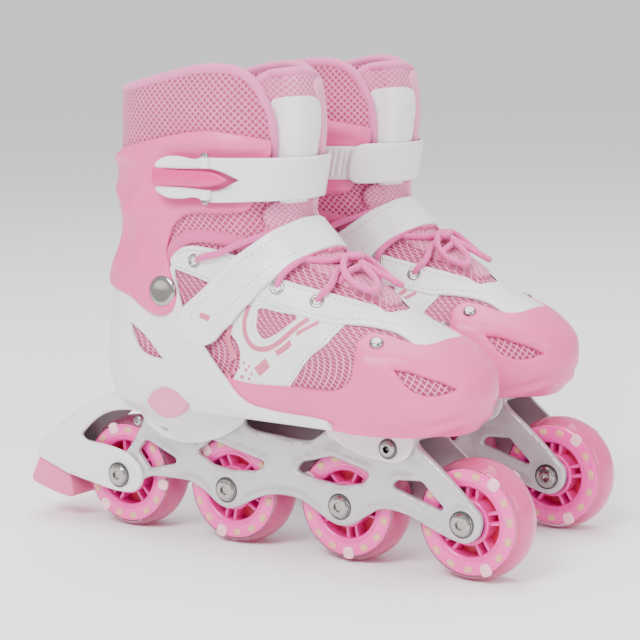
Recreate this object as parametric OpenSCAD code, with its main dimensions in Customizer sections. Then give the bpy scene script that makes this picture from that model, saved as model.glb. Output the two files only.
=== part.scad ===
// Pair of adjustable inline skates for children, as separate pieces.
// Each skate is drawn once in its own frame: +X to the toe, +Y to the inner side of the
// foot on the right skate, +Z up, with x = 0 halfway between the end axles on the ground.
// The left skate is the mirror image and has no heel brake.

/* [Wheels] */
// Outer diameter of a wheel
wheel_d = 70; // [64:1:72]
// Width of a wheel across its tyre
wheel_w = 24; // [22:1:25]
// Distance between neighbouring axles
axle_pitch = 82; // [76:1:84]
// Diameter of the hub inside the tyre
hub_d = 46; // [42:1:48]
// Outer diameter of a wheel bearing
bearing_d = 22; // [22:1:22]
// Width of a wheel bearing
bearing_w = 7; // [6:1:7]
// Diameter of an axle bolt
axle_d = 8; // [8:1:8]
// Diameter of an axle bolt's head
bolt_head_d = 13.6; // [12:0.2:15]

/* [Frame] */
// Clear width between the two frame plates
frame_gap = 29; // [28:0.5:31]
// Thickness of a frame plate
plate_t = 3; // [2:0.5:3]
// Height of the frame's mounting decks
frame_top = 80; // [78:1:82]

/* [Boot] */
// Thickness of the moulded shells
shell_t = 3; // [2.5:0.5:3]
// Thickness of the padded liner
liner_t = 8; // [6:1:9]
// Thickness of the straps
strap_t = 2.6; // [2:0.2:3]

/* [Adjustment] */
// How far the toe part slides forward
toe_travel = 20; // [10:1:20]

/* [Pair] */
// Distance between the centre planes of the two skates
skate_spacing = 135; // [125:1:160]
// How far the left skate stands behind the right one
skate_stagger = 18; // [0:1:30]

/* [Hidden] */
$fn = 48;
// Free space between pieces that move past each other
gap = 0.5;
// Running clearance of a pin in its bore, on the radius
run = 0.05;
wheel_r = wheel_d / 2;
hub_r = hub_d / 2;
bearing_r = bearing_d / 2;
axle_r = axle_d / 2;
axle_x = [for (i = [-1.5 : 1 : 1.5]) i * axle_pitch];
plate_in = frame_gap / 2;
plate_out = plate_in + plate_t;
ear_out = plate_out + 2.7;
// Heights of the layers under the foot
sole_z = frame_top + 4;
floor_z = sole_z + shell_t + 0.4;
insole_z = floor_z + 2.6;
insole_top = insole_z + 3;
// Cuff pivot, side to side through the ankle
pivot = [-67, 157];
pivot_r = 4;
// Hinge line of the buckle lever, upright on the outer side
lever_pin = [-28, -52.4];
lever_pin_r = 1.5;
lever_z = [213.5, 238.5];
boss_r = 3.2;
lug_t = 2.3;
lug_z = [lever_z[0] - lug_t - 0.3, lever_z[1] + 0.3];
tab_z = [221, 230.5];
// Size button, on the outer side under the ankle
button_at = [-65, 90];
// Cross bolts of the heel and toe mounts
heel_screw = [-84, 72];
toe_screw = [76, 73];
brake_rear = -199;
right_x = -(brake_rear + axle_x[3] + wheel_r) / 2;
left_x = right_x - skate_stagger;

// Half outline of the foot seen from above, heel to toe: [x, half width]
foot_half = [[-131, 0], [-129.2, 15], [-123.1, 27], [-110.8, 36], [-90.7, 40.5], [-66.1, 41.5],
    [-20, 42], [20, 44.5], [55, 48], [82.4, 46.5], [103.1, 39], [117.4, 28], [126.4, 14], [130, 0]];
// Half outline of the padded shaft and of the cuff round it, seen from above
shaft_half = [[-122.2, 0], [-120.5, 15], [-114.3, 27], [-102.1, 36], [-81.9, 41.5], [-55, 43],
    [-25, 41], [0, 33], [12, 25]];
cuff_half = [[-128.4, 0], [-126.6, 17], [-121.4, 29], [-111.7, 39.9], [-95.1, 47.4], [-66.1, 48.6],
    [-30, 47.5], [5, 43.5], [22, 41.6]];

// Side outlines: [x, z]
frame_side = [[-135, 40], [-121, 50], [-106, 72], [-104, 80], [-28, 80], [-27, 74],
    [14, 71], [21, 72], [32, 80], [91, 80], [92, 78], [108, 65], [129, 47], [134, 41],
    [130, 25], [118, 23.5], [76, 37], [66, 36], [50, 26], [41, 23.5], [32, 26],
    [14, 35], [0, 36], [-16, 33], [-32, 26], [-41, 23.5], [-50, 27], [-60, 34],
    [-69, 36], [-112, 33], [-123, 24]];
frame_windows = [
    [[-103, 59], [-99, 58], [-80, 50], [-80, 47], [-101, 41.5], [-109, 51]],
    [[-63, 56], [-58, 62], [-51, 63.5], [-12, 55], [-11, 52], [-20, 49], [-37, 47.5], [-50, 49]],
    [[10, 53], [14, 58], [35, 63.5], [61, 57], [61, 53], [52, 49.5], [41, 47.5], [24, 49]],
    [[76, 51], [79, 53.5], [95, 55.5], [99, 54], [110, 43], [108, 41.5]]];
heel_skirt = [[-106, 84], [-104, 76], [-98, 69], [-86, 63], [-72, 61], [-59, 62.5],
    [-42, 68], [-29, 76], [-25, 84]];
toe_lug = [[33, 84], [33, 77], [49, 70], [70, 65.5], [79, 65.5], [87, 69], [91, 76], [92, 84]];
heel_side = [[-135.4, 92], [-126.6, 84], [-98.6, 79], [-30, 79], [-20, 84], [88.7, 84], [88.7, 87], [56, 87], [53, 92], [12, 94], [-4, 97],
    [-20, 111], [-33, 126], [-47, 140], [-47, 168], [-86.3, 168], [-95.1, 150], [-135.4, 148]];
heel_vent = [[-93, 137], [-68, 117], [-80, 118], [-91, 128]];
cuff_side = [[-131, 159], [-131, 172], [-124.9, 177], [-126.6, 232], [-91.6, 241], [-57, 249],
    [-15, 251], [3, 247], [3, 237], [-3, 216], [-6, 208], [-41, 205], [-56, 200],
    [-63.5, 188], [-61.8, 172], [-57, 158], [-58, 148], [-63.5, 142], [-70.5, 142], [-81, 147],
    [-95.1, 154]];
collar_side = [[-123.1, 173], [-123.1, 272], [-86.3, 281], [-40, 289], [-22, 288], [-6, 283],
    [5, 272], [10, 262], [13, 246], [8, 200], [-15, 193], [-50, 187], [-79.3, 176]];
toe_side = [[-19, 87.4], [-19, 109], [27, 109], [58, 111], [64.5, 118], [66.3, 133], [72.6, 142],
    [85.1, 142], [94.1, 146], [106.7, 141], [119.2, 130], [127.3, 117], [130, 105], [125.5, 93],
    [113.8, 87.4]];
quarter_side = [[-117, 93.6], [-117, 171], [-82.8, 172], [-54, 182], [-16, 184.5], [4, 186],
    [26, 185],
    [45, 177], [63.6, 164], [63.6, 93.6]];
vamp_side = [[64.1, 90.5], [64.1, 163.5], [76.2, 155], [88.7, 146], [90.5, 142], [94.1, 142.2],
    [104.9, 137.6], [116.5, 127], [124.1, 115.5], [126.4, 105], [122.3, 95.6], [112.1, 90.9]];
strap_side = [[-53, 142], [-49, 131], [-43, 127], [-35, 126], [-24, 133], [-10, 148],
    [0, 160], [6, 170], [14, 174], [42, 175], [46, 184], [38, 190], [10, 192], [-10, 181],
    [-30, 165]];
brake_side = [[-192, 40], [-189, 48], [-176, 60], [-161, 71.5], [-146, 79.5], [-132, 83.4],
    [-116, 83.4], [-114, 62], [-110, 40], [-112, 28], [-123, 22], [-166, 31]];
brake_window = [[-152, 57], [-145, 65], [-137, 71], [-124, 75.5], [-108, 76], [-122, 51],
    [-138, 52]];
pad_side = [[-192, 39.6], [-199, 24], [-197, 21], [-164, 14], [-166, 30.7]];

// Outline of the leaf-shaped size button: [length, height]
leaf_size = [32, 19];
leaf_r = (pow(leaf_size[0], 2) + pow(leaf_size[1], 2)) / (4 * leaf_size[1]);

// Slope of the instep's sides: [half width, height] low and high
slope_low = [44, 136];
slope_high = [23, 188];
slope_lean = atan((slope_low[0] - slope_high[0]) / (slope_high[1] - slope_low[1]));
function slope_y(z) = slope_low[0]
    - (slope_low[0] - slope_high[0]) * (z - slope_low[1]) / (slope_high[1] - slope_low[1]);
// Rivet that holds each strap on the cuff
strap_rivet = [-4, 226];
strap_rivet_r = 2;
// Eyelets on the outer side: [x, y, z, lean of the surface in degrees]
eyelets = [[-46, -38.5, 175, 0], [10, -slope_y(164) - 0.1, 164, slope_lean],
    [35, -slope_y(157) - 0.1, 157, slope_lean]];
// Toe rivets, through the arms of the toe shell
rivet_at = [80, 134];
rivet_r = 2;
// Windows in the sides of the toe shell
toe_vent = [[89.6, 123], [105.8, 119.5], [123.7, 116], [115.6, 112.5], [101.3, 112], [93.2, 116]];

// ---- Helpers ----

// Places a piece drawn in the skate's own frame on the right or the left skate
module right() {
    translate([right_x, -skate_spacing / 2, 0]) children();
}

module left() {
    translate([left_x, skate_spacing / 2, 0]) mirror([0, 1, 0]) children();
}

// Whole outline from a half outline, grown by g
module outline(half, g = 0) {
    far = [for (i = [len(half) - 1 : -1 : 0]) [half[i][0], -half[i][1]]];
    offset(delta = g) polygon(concat(half, far));
}

// The same for a half outline whose points are [half width, height]
module outline_up(half) {
    far = [for (i = [len(half) - 1 : -1 : 0]) [-half[i][0], half[i][1]]];
    polygon(concat(half, far));
}

module prism(half, g, z0, z1) {
    translate([0, 0, z0]) linear_extrude(z1 - z0) outline(half, g);
}

// Side outline drawn out across the skate from y0 to y1
module across(y0, y1) {
    translate([0, y1, 0]) rotate([90, 0, 0]) linear_extrude(y1 - y0) children();
}

module side(points, g = 0, half_y = 80) {
    across(-half_y, half_y) offset(delta = g) polygon(points);
}

// The same solid on the outer and the inner side of the skate
module both_sides() {
    children();
    mirror([0, 1, 0]) children();
}

// Cylinder across the skate, from y0 to y1
module pin_y(x, z, r, y0, y1) {
    translate([x, y0, z]) rotate([-90, 0, 0]) cylinder(r = r, h = y1 - y0);
}

// Ring of a half outline: its wall lies between two offsets
module wall(half, g_out, g_in, z0, z1) {
    difference() {
        prism(half, g_out, z0, z1);
        prism(half, g_in, z0 - 1, z1 + 1);
    }
}

// ---- Wheels ----

module tyre(i) {
    tread = [for (a = [-80 : 16 : 80])
        [hub_r + (wheel_r - hub_r) * pow(cos(a), 0.6), wheel_w / 2 * sin(a) / sin(80)]];
    color("hotpink") translate([axle_x[i], 0, wheel_r]) rotate([90, 0, 0])
        rotate_extrude($fn = 96)
            polygon(concat([[hub_r, -wheel_w / 2]], tread, [[hub_r, wheel_w / 2]]));
}

module spoke_pair() {
    spoke_l = hub_r - bearing_r - 3;
    for (s = [-1, 1])
        translate([bearing_r + 2, s * 2.6 - 1, -7]) cube([spoke_l, 2, 14]);
}

module hub(i) {
    rim_t = 3;
    color("deeppink") translate([axle_x[i], 0, wheel_r]) rotate([90, 0, 0]) difference() {
        union() {
            difference() {
                translate([0, 0, -wheel_w / 2 + 1]) cylinder(r = hub_r - run, h = wheel_w - 2);
                translate([0, 0, -wheel_w / 2]) cylinder(r = hub_r - rim_t, h = wheel_w);
            }
            translate([0, 0, -wheel_w / 2]) cylinder(r = bearing_r + 2.5, h = wheel_w);
            translate([0, 0, -2]) cylinder(r = hub_r - rim_t + 1, h = 4);
            for (a = [0 : 72 : 288]) rotate([0, 0, a]) spoke_pair();
        }
        translate([0, 0, -wheel_w / 2 - 1]) cylinder(r = bearing_r + run, h = wheel_w + 2);
    }
}

module bearing_ring(x, y0) {
    difference() {
        pin_y(x, wheel_r, bearing_r, y0, y0 + bearing_w);
        pin_y(x, wheel_r, axle_r, y0 - 1, y0 + bearing_w + 1);
    }
}

module spacer(x, r, y0, y1) {
    difference() {
        pin_y(x, wheel_r, r, y0, y1);
        pin_y(x, wheel_r, axle_r, y0 - 1, y1 + 1);
    }
}

// Two bearings a wheel, the spacer between them and the washers outside them
module bearings() {
    inner = wheel_w / 2 - bearing_w;
    color("silver") for (x = axle_x) {
        bearing_ring(x, inner);
        bearing_ring(x, -inner - bearing_w);
        spacer(x, axle_r + 2, -inner, inner);
        spacer(x, axle_r + 2.5, wheel_w / 2, plate_in);
        spacer(x, axle_r + 2.5, -plate_in, -wheel_w / 2);
    }
}

// ---- Frame ----

module frame_plate() {
    across(-plate_out, -plate_in) difference() {
        union() {
            polygon(frame_side);
            for (x = axle_x) translate([x, wheel_r]) circle(r = 12.4);
        }
        for (w = frame_windows) polygon(w);
        for (x = axle_x) translate([x, wheel_r]) circle(r = axle_r + run);
        translate(heel_screw) circle(r = 2.6);
        translate(toe_screw) circle(r = 2.6);
    }
}

module deck(x0, x1) {
    translate([x0, -plate_in, frame_top - plate_t]) cube([x1 - x0, frame_gap, plate_t]);
}

module frame() {
    color("gainsboro") {
        both_sides() frame_plate();
        deck(-100, -32);
        deck(36, 88);
    }
}

module bolt(x, z, shank_r, head_r, y_head, socket) {
    difference() {
        union() {
            pin_y(x, z, shank_r - 0.02, -y_head, y_head);
            pin_y(x, z, head_r, -y_head - 2.3, -y_head);
            pin_y(x, z, head_r, y_head, y_head + 2.3);
        }
        for (y = [-y_head - 2.4, y_head + 0.8])
            translate([x, y, z]) rotate([-90, 0, 0]) cylinder(r = socket, h = 1.6, $fn = 6);
    }
}

// Four axle bolts and the two cross bolts that hold the shell on the frame
module frame_bolts(rear_face) {
    color("silver") {
        bolt(axle_x[0], wheel_r, axle_r, bolt_head_d / 2, rear_face, 2.9);
        for (i = [1 : 3]) bolt(axle_x[i], wheel_r, axle_r, bolt_head_d / 2, plate_out, 2.9);
        bolt(heel_screw[0], heel_screw[1], 2.6, 4.6, ear_out, 2.2);
        bolt(toe_screw[0], toe_screw[1], 2.6, 5.2, ear_out, 2.2);
    }
}

// ---- Shells ----

// Ear of the shell that laps the outside of a frame plate
module skirt(points) {
    across(-ear_out, -plate_out - 0.1) polygon(points);
}

module leaf(g) {
    lift = leaf_r - leaf_size[1] / 2;
    intersection() {
        translate([0, lift]) circle(r = leaf_r + g, $fn = 96);
        translate([0, -lift]) circle(r = leaf_r + g, $fn = 96);
    }
}

module heel_shell() {
    color("white") difference() {
        union() {
            intersection() {
                wall(foot_half, shell_t + gap, gap, frame_top - 2, 170);
                side(heel_side);
            }
            intersection() {
                prism(foot_half, gap + 1, sole_z, sole_z + shell_t);
                side(heel_side);
            }
            intersection() {
                prism(foot_half, gap + 1, sole_z, insole_z - 0.2);
                translate([-150, -60, sole_z]) cube([125, 120, 20]);
            }
            both_sides() {
                skirt(heel_skirt);
                skirt(toe_lug);
            }
            for (x = [-100, 38])
                translate([x, -ear_out, frame_top]) cube([48, 2 * ear_out, sole_z - frame_top]);
        }
        side(heel_vent);
        pin_y(pivot[0], pivot[1], pivot_r + run, -60, 60);
        for (s = [heel_screw, toe_screw]) pin_y(s[0], s[1], 2.6, -40, 40);
        translate([button_at[0], -38, button_at[1]]) rotate([90, 0, 0])
            linear_extrude(20) leaf(0.4);
    }
}

module size_button() {
    color("pink") translate([button_at[0], -41.6, button_at[1]]) rotate([90, 0, 0])
        linear_extrude(5.4) leaf(0);
}

module insole() {
    color("lightpink") intersection() {
        prism(foot_half, -shell_t - gap - liner_t - 0.5, insole_z, insole_top);
        translate([-150, -60, 80]) cube([258, 120, 20]);
    }
}

module toe_shell() {
    color("pink") difference() {
        intersection() {
            prism(foot_half, 0, 80, 160);
            side(toe_side);
        }
        intersection() {
            prism(foot_half, -shell_t, floor_z + 2, 160);
            union() {
                side(toe_side, -shell_t);
                translate([-60, -80, floor_z + 2]) cube([158, 160, 80]);
                translate([-60, -80, floor_z + 2]) cube([172, 160, 8]);
            }
        }
        across(-80, 80) polygon(toe_vent);
        pin_y(rivet_at[0], rivet_at[1], rivet_r + 0.02, -60, 60);
    }
}

module toe_rivets() {
    color("silver") both_sides() {
        pin_y(rivet_at[0], rivet_at[1], rivet_r, -48, -39);
        translate([rivet_at[0], -47, rivet_at[1]]) rotate([90, 0, 0]) intersection() {
            cylinder(r = 4.2, h = 4);
            translate([0, 0, -3]) sphere(r = 6);
        }
    }
}

module cuff() {
    color("pink") difference() {
        intersection() {
            wall(cuff_half, 0, -shell_t, 130, 260);
            side(cuff_side);
        }
        pin_y(pivot[0], pivot[1], pivot_r + 0.02, -60, 60);
        pin_y(strap_rivet[0], strap_rivet[1], strap_rivet_r + 0.02, -60, 60);
    }
}

// Ankle rivets that the cuff turns on, and the rivets that hold its straps
module cuff_rivets() {
    color("silver") both_sides() {
        pin_y(pivot[0], pivot[1], pivot_r, -50, -41.4);
        pin_y(pivot[0], pivot[1], 9.5, -52, -cuff_half[5][1] - 0.05);
        pin_y(strap_rivet[0], strap_rivet[1], strap_rivet_r, -49.2, -41.9);
    }
}

// ---- Soft boot ----

// Instep seen from the front: full width below, narrowing to the laces
module instep_section(g) {
    rotate([90, 0, 90]) linear_extrude(240, center = true) offset(delta = g)
        outline_up([[50, 60], [50, 125], slope_low, slope_high, [23, 200]]);
}

// Outer form of the rear upper, grown by g; its front is narrow enough for the toe shell,
// slid forward, to pass
module upper_form(g) {
    intersection() {
        prism(foot_half, g - shell_t - gap, 60, 200);
        side(quarter_side, g);
        union() {
            translate([-200, -80, 60]) cube([180, 160, 160]);
            translate([toe_travel, 0, 0]) prism(foot_half, g - shell_t - gap, 60, 200);
        }
        union() {
            translate([-200, -80, 60]) cube([170, 160, 160]);
            instep_section(g);
        }
    }
}

module quarter() {
    color("mistyrose") difference() {
        upper_form(0);
        intersection() {
            prism(foot_half, -shell_t - gap - liner_t, 60, 200);
            union() {
                side(quarter_side, -liner_t);
                translate([-140, -80, 60]) cube([135, 160, 140]);
                translate([-60, -80, 60]) cube([160, 160, 66]);
            }
            union() {
                translate([-200, -80, 60]) cube([170, 160, 160]);
                instep_section(-liner_t);
            }
        }
    }
}

module toe_liner() {
    color("lightpink") difference() {
        intersection() {
            prism(foot_half, -shell_t - gap, 60, 200);
            side(vamp_side);
            instep_section(0);
        }
        intersection() {
            prism(foot_half, -shell_t - gap - 4, 60, 200);
            union() {
                side(vamp_side, -4);
                translate([50, -80, insole_top]) cube([30, 160, 52]);
                translate([60, -80, 60]) cube([52, 160, 45]);
            }
            instep_section(-4);
        }
        pin_y(rivet_at[0], rivet_at[1], rivet_r + 0.02, -60, 60);
    }
}

module collar() {
    color("pink") difference() {
        intersection() {
            prism(shaft_half, 0, 165, 295);
            side(collar_side);
        }
        prism(shaft_half, -liner_t, 160, 300);
        translate([0, -23, 160]) cube([60, 46, 140]);
    }
}

module tongue() {
    color("lightpink") intersection() {
        translate([0, 0, 222]) linear_extrude(64) polygon([[11, -19], [11, 19], [17, 20],
            [22, 13], [24, 0], [22, -13], [17, -20]]);
        side([[8, 222], [26, 222], [26, 262], [20, 280], [14, 286], [8, 286]]);
    }
}

module power_strap() {
    color("white") intersection() {
        difference() {
            upper_form(gap + strap_t);
            upper_form(gap);
        }
        side(strap_side);
        translate([-80, -80, 120]) cube([200, 130, 90]);
    }
}

module eyelet(p) {
    translate([p[0], p[1], p[2]]) rotate([90 - p[3], 0, 0]) difference() {
        cylinder(r = 4.4, h = 1.4);
        translate([0, 0, -1]) cylinder(r = 2.6, h = 4);
    }
}

module eyelets() {
    color("silver") both_sides() for (p = eyelets) eyelet(p);
}

module lace(a, b) {
    hull() {
        translate(a) sphere(r = 1.7, $fn = 10);
        translate(b) sphere(r = 1.7, $fn = 10);
    }
}

// Crossed laces in front of the strap, and the ends over them
module laces() {
    color("hotpink") {
        lace([50, -26, 176], [54, 24, 174]);
        lace([50, 26, 176], [54, -24, 174]);
        lace([60, -26, 169.5], [60, 26, 169.5]);
    }
}

// ---- Straps and buckle ----

// Smooth guide strap: from the buckle round the front of the shin
module catch_strap() {
    t = strap_t;
    band = [[-24, -48.2], [5, -44.4], [16, -34], [24, -20], [28, -4], [28, 4], [28 + t, 4],
        [28 + t, -4], [26.6, -21], [18.4, -36], [6.4, -44.4 - t], [-24, -48.2 - t]];
    color("white") difference() {
        union() {
            translate([0, 0, lever_z[0]]) linear_extrude(lever_z[1] - lever_z[0]) polygon(band);
            for (z = [lug_z[0], lug_z[1]]) translate([lever_pin[0], lever_pin[1], z]) {
                cylinder(r = boss_r, h = lug_t);
                cube([8, boss_r, lug_t]);
            }
            for (z = [lug_z[0], lever_z[1] - 2.5])
                translate([-24, lever_pin[1], z]) cube([4, 3.6, 5.1]);
        }
        translate([lever_pin[0], lever_pin[1], 200]) cylinder(r = lever_pin_r + run, h = 60);
        translate([0, 0, tab_z[0] - 0.8]) linear_extrude(tab_z[1] - tab_z[0] + 1.6)
            polygon([[-30, -60], [-30, -46], [-15.5, -46], [-8.4, -53.2]]);
        pin_y(strap_rivet[0], strap_rivet[1], strap_rivet_r + 0.02, -60, 0);
    }
}

// Ribbed strap: from the inner side of the cuff, under the guide strap
module ladder_strap() {
    t = 2.2;
    band = [[-20, 48.2], [5, 44.6], [16, 32], [22.6, 18], [25.4, 4], [25.4, -4],
        [25.4 + t, -4], [25.4 + t, 4], [25, 19], [18.2, 33.6], [6.4, 44.6 + t], [-20, 48.2 + t]];
    color("white") difference() {
        translate([0, 0, lever_z[0] + 2]) linear_extrude(lever_z[1] - lever_z[0] - 4) polygon(band);
        for (y = [8 : 3 : 32])
            translate([rib_x(y), y, lever_z[0]]) cylinder(r = 0.7, h = 40, $fn = 16);
        pin_y(strap_rivet[0], strap_rivet[1], strap_rivet_r + 0.02, 0, 60);
    }
}

// Outer face of the ladder strap at a given y, along its straight stretches
function rib_x(y) = y < 19 ? 27.6 - (y - 4) * 2.6 / 15 : 25 - (y - 19) * 6.8 / 14.6;

// Forked lever: two prongs on one pin
module buckle_lever() {
    slot = [tab_z[0] - 0.6, tab_z[1] + 0.6];
    color("white") {
        difference() {
            union() {
                translate([-63, lever_pin[1] - 2, lever_z[0]])
                    cube([35, 3.6, lever_z[1] - lever_z[0]]);
                translate([lever_pin[0], lever_pin[1], lever_z[0]])
                    cylinder(r = boss_r, h = lever_z[1] - lever_z[0]);
            }
            translate([-70, -60, slot[0]]) cube([60, 20, slot[1] - slot[0]]);
        }
        translate([lever_pin[0], lever_pin[1], lug_z[0]])
            cylinder(r = lever_pin_r, h = lug_z[1] + lug_t - lug_z[0]);
    }
}

module release_tab() {
    color("hotpink") difference() {
        union() {
            translate([-66, lever_pin[1] - 3, tab_z[0]]) cube([38, 4.4, tab_z[1] - tab_z[0]]);
            translate([lever_pin[0], lever_pin[1], tab_z[0]])
                cylinder(r = boss_r, h = tab_z[1] - tab_z[0]);
            translate([0, 0, tab_z[0]]) linear_extrude(tab_z[1] - tab_z[0])
                polygon([[-28, -55.6], [-13.5, -52.8], [-14.5, -51], [-28, -50.6]]);
        }
        translate([lever_pin[0], lever_pin[1], 200]) cylinder(r = lever_pin_r + run, h = 60);
    }
}

// ---- Heel brake, right skate only ----

module brake_arm() {
    color("white") difference() {
        intersection() {
            side(brake_side);
            translate([-220, -ear_out, 0]) cube([140, 2 * ear_out, 120]);
        }
        difference() {
            translate([-178, -plate_out - 0.1, 0]) cube([100, 2 * plate_out + 0.2, 100]);
            difference() {
                side(brake_side);
                side(brake_side, -shell_t);
                translate([-178, -40, 0]) cube([80, 80, 50]);
                translate([-121, -40, 0]) cube([40, 80, 100]);
            }
        }
        side(brake_window);
        pin_y(axle_x[0], wheel_r, axle_r + run, -40, 40);
    }
}

module brake_pad() {
    color("lightcoral") intersection() {
        side(pad_side);
        translate([-220, -plate_out, 0]) cube([80, 2 * plate_out, 60]);
    }
}

right() heel_shell();  // right_heel_shell
right() frame();  // right_frame
right() frame_bolts(ear_out);  // right_frame_bolts
right() bearings();  // right_bearings
right() insole();  // right_insole
right() quarter();  // right_quarter
right() power_strap();  // right_power_strap
right() eyelets();  // right_eyelets
right() laces();  // right_laces
right() toe_shell();  // right_toe_shell
right() toe_liner();  // right_toe_liner
right() toe_rivets();  // right_toe_rivets
right() size_button();  // right_size_button
right() cuff();  // right_cuff
right() collar();  // right_collar
right() tongue();  // right_tongue
right() catch_strap();  // right_catch_strap
right() ladder_strap();  // right_ladder_strap
right() cuff_rivets();  // right_cuff_rivets
right() buckle_lever();  // right_buckle_lever
right() release_tab();  // right_release_tab
right() hub(0);  // right_hub_1
right() hub(1);  // right_hub_2
right() hub(2);  // right_hub_3
right() hub(3);  // right_hub_4
right() tyre(0);  // right_tyre_1
right() tyre(1);  // right_tyre_2
right() tyre(2);  // right_tyre_3
right() tyre(3);  // right_tyre_4
right() brake_arm();  // right_brake_arm
right() brake_pad();  // right_brake_pad
left() heel_shell();  // left_heel_shell
left() frame();  // left_frame
left() frame_bolts(plate_out);  // left_frame_bolts
left() bearings();  // left_bearings
left() insole();  // left_insole
left() quarter();  // left_quarter
left() power_strap();  // left_power_strap
left() eyelets();  // left_eyelets
left() laces();  // left_laces
left() toe_shell();  // left_toe_shell
left() toe_liner();  // left_toe_liner
left() toe_rivets();  // left_toe_rivets
left() size_button();  // left_size_button
left() cuff();  // left_cuff
left() collar();  // left_collar
left() tongue();  // left_tongue
left() catch_strap();  // left_catch_strap
left() ladder_strap();  // left_ladder_strap
left() cuff_rivets();  // left_cuff_rivets
left() buckle_lever();  // left_buckle_lever
left() release_tab();  // left_release_tab
left() hub(0);  // left_hub_1
left() hub(1);  // left_hub_2
left() hub(2);  // left_hub_3
left() hub(3);  // left_hub_4
left() tyre(0);  // left_tyre_1
left() tyre(1);  // left_tyre_2
left() tyre(2);  // left_tyre_3
left() tyre(3);  // left_tyre_4
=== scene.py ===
"""A pair of children's inline skates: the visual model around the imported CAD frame.

Every piece is built once, in millimetres, on the right skate's own frame: x = 0 midway
between the end axles and +X to the toe, y = 0 on the centre plane and +Y to the other
skate, z = 0 on the floor. put() makes it for each skate, mirrored for the left one.
"""
import bpy
import math
import numpy as np
from mathutils import Matrix, Vector, geometry

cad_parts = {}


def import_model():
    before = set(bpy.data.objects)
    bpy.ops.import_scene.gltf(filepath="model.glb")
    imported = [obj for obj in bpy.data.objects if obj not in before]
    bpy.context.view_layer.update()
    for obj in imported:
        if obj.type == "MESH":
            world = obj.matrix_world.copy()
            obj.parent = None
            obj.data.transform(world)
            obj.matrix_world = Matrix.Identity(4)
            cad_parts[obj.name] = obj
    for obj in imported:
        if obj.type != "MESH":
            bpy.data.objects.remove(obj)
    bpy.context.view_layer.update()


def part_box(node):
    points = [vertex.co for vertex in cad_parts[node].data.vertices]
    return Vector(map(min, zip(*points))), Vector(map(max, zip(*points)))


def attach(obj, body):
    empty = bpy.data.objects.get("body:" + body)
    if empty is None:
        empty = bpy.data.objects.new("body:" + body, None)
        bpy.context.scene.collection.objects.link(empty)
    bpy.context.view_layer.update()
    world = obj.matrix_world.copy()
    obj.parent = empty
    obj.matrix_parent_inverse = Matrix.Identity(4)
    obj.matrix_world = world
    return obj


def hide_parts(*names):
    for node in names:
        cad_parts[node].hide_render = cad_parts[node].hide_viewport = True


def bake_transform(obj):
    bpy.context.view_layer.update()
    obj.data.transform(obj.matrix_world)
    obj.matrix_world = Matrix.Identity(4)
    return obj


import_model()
SIDES = ("right", "left")
OUTER, INNER = -1, 1


# ---------------------------------------------------------------- the skates' places
def centre(node):
    low, high = (np.array(c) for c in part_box(node))
    return (low + high) / 2


def skate_origin(side):
    ends = (centre(f"{side}_hub_1") + centre(f"{side}_hub_4")) / 2
    return np.array([ends[0], ends[1], 0.0])


ORIGIN = {side: skate_origin(side) for side in SIDES}
MIRROR = {"right": 1.0, "left": -1.0}


def world(side, p):
    """Points on a skate's own frame, in mm, as metres in the row frame."""
    p = np.atleast_2d(np.asarray(p, float)) * 0.001
    return p * [1, MIRROR[side], 1] + ORIGIN[side]


# ---------------------------------------------------------------- the boot's form
# z, heel x, toe x, heel half width, ball half width, length of the heel's rounding,
# length of the toe's rounding
FORM = np.array([
    [60, -116, 92, 25, 31, 38, 50],
    [82, -122, 108, 31, 39, 40, 54],
    [90, -126, 119, 35, 43, 42, 57],
    [98, -128.5, 125, 37.5, 45.5, 43, 58],
    [106, -130, 127, 38.5, 46.5, 44, 59],
    [118, -130, 123.5, 39.5, 46.5, 45, 61],
    [130, -129, 112, 40, 45, 46, 66],
    [140, -128.5, 91, 40, 42, 46, 70],
    [148, -128, 76, 40, 39, 46, 74],
    [156, -127, 65, 39.5, 37, 46, 77],
    [165, -125, 47, 39, 36.5, 46, 72],
    [175, -121, 29, 39, 36, 47, 64],
    [185, -118.5, 18, 40, 37, 48, 60],
    [195, -118, 7, 41, 38.5, 49, 54],
    [205, -119.5, 2, 42, 40, 50, 50],
    [215, -120, 3, 42.5, 41.5, 50, 48],
    [230, -119.5, 5.5, 43, 42.5, 50, 47],
    [245, -119.5, 8, 43.5, 43, 50, 47],
    [265, -119.5, 9.5, 43.5, 43, 50, 47],
    [300, -118, 9, 43, 42, 50, 48]])
FORM_LOW, FORM_HIGH, FORM_STEPS = 60.0, 300.0, 301


def hermite(xs, ys, x):
    """A smooth curve through the points (xs, ys) that doesn't overshoot, at x."""
    slope = np.diff(ys) / np.diff(xs)
    m = np.concatenate([[slope[0]], (slope[:-1] + slope[1:]) / 2, [slope[-1]]])
    m[1:-1][slope[:-1] * slope[1:] <= 0] = 0
    i = np.clip(np.searchsorted(xs, x) - 1, 0, len(xs) - 2)
    h = xs[i + 1] - xs[i]
    t = np.clip((x - xs[i]) / h, 0, 1)
    return ((2 * t**3 - 3 * t**2 + 1) * ys[i] + (t**3 - 2 * t**2 + t) * h * m[i]
            + (3 * t**2 - 2 * t**3) * ys[i + 1] + (t**3 - t**2) * h * m[i + 1])


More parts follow.
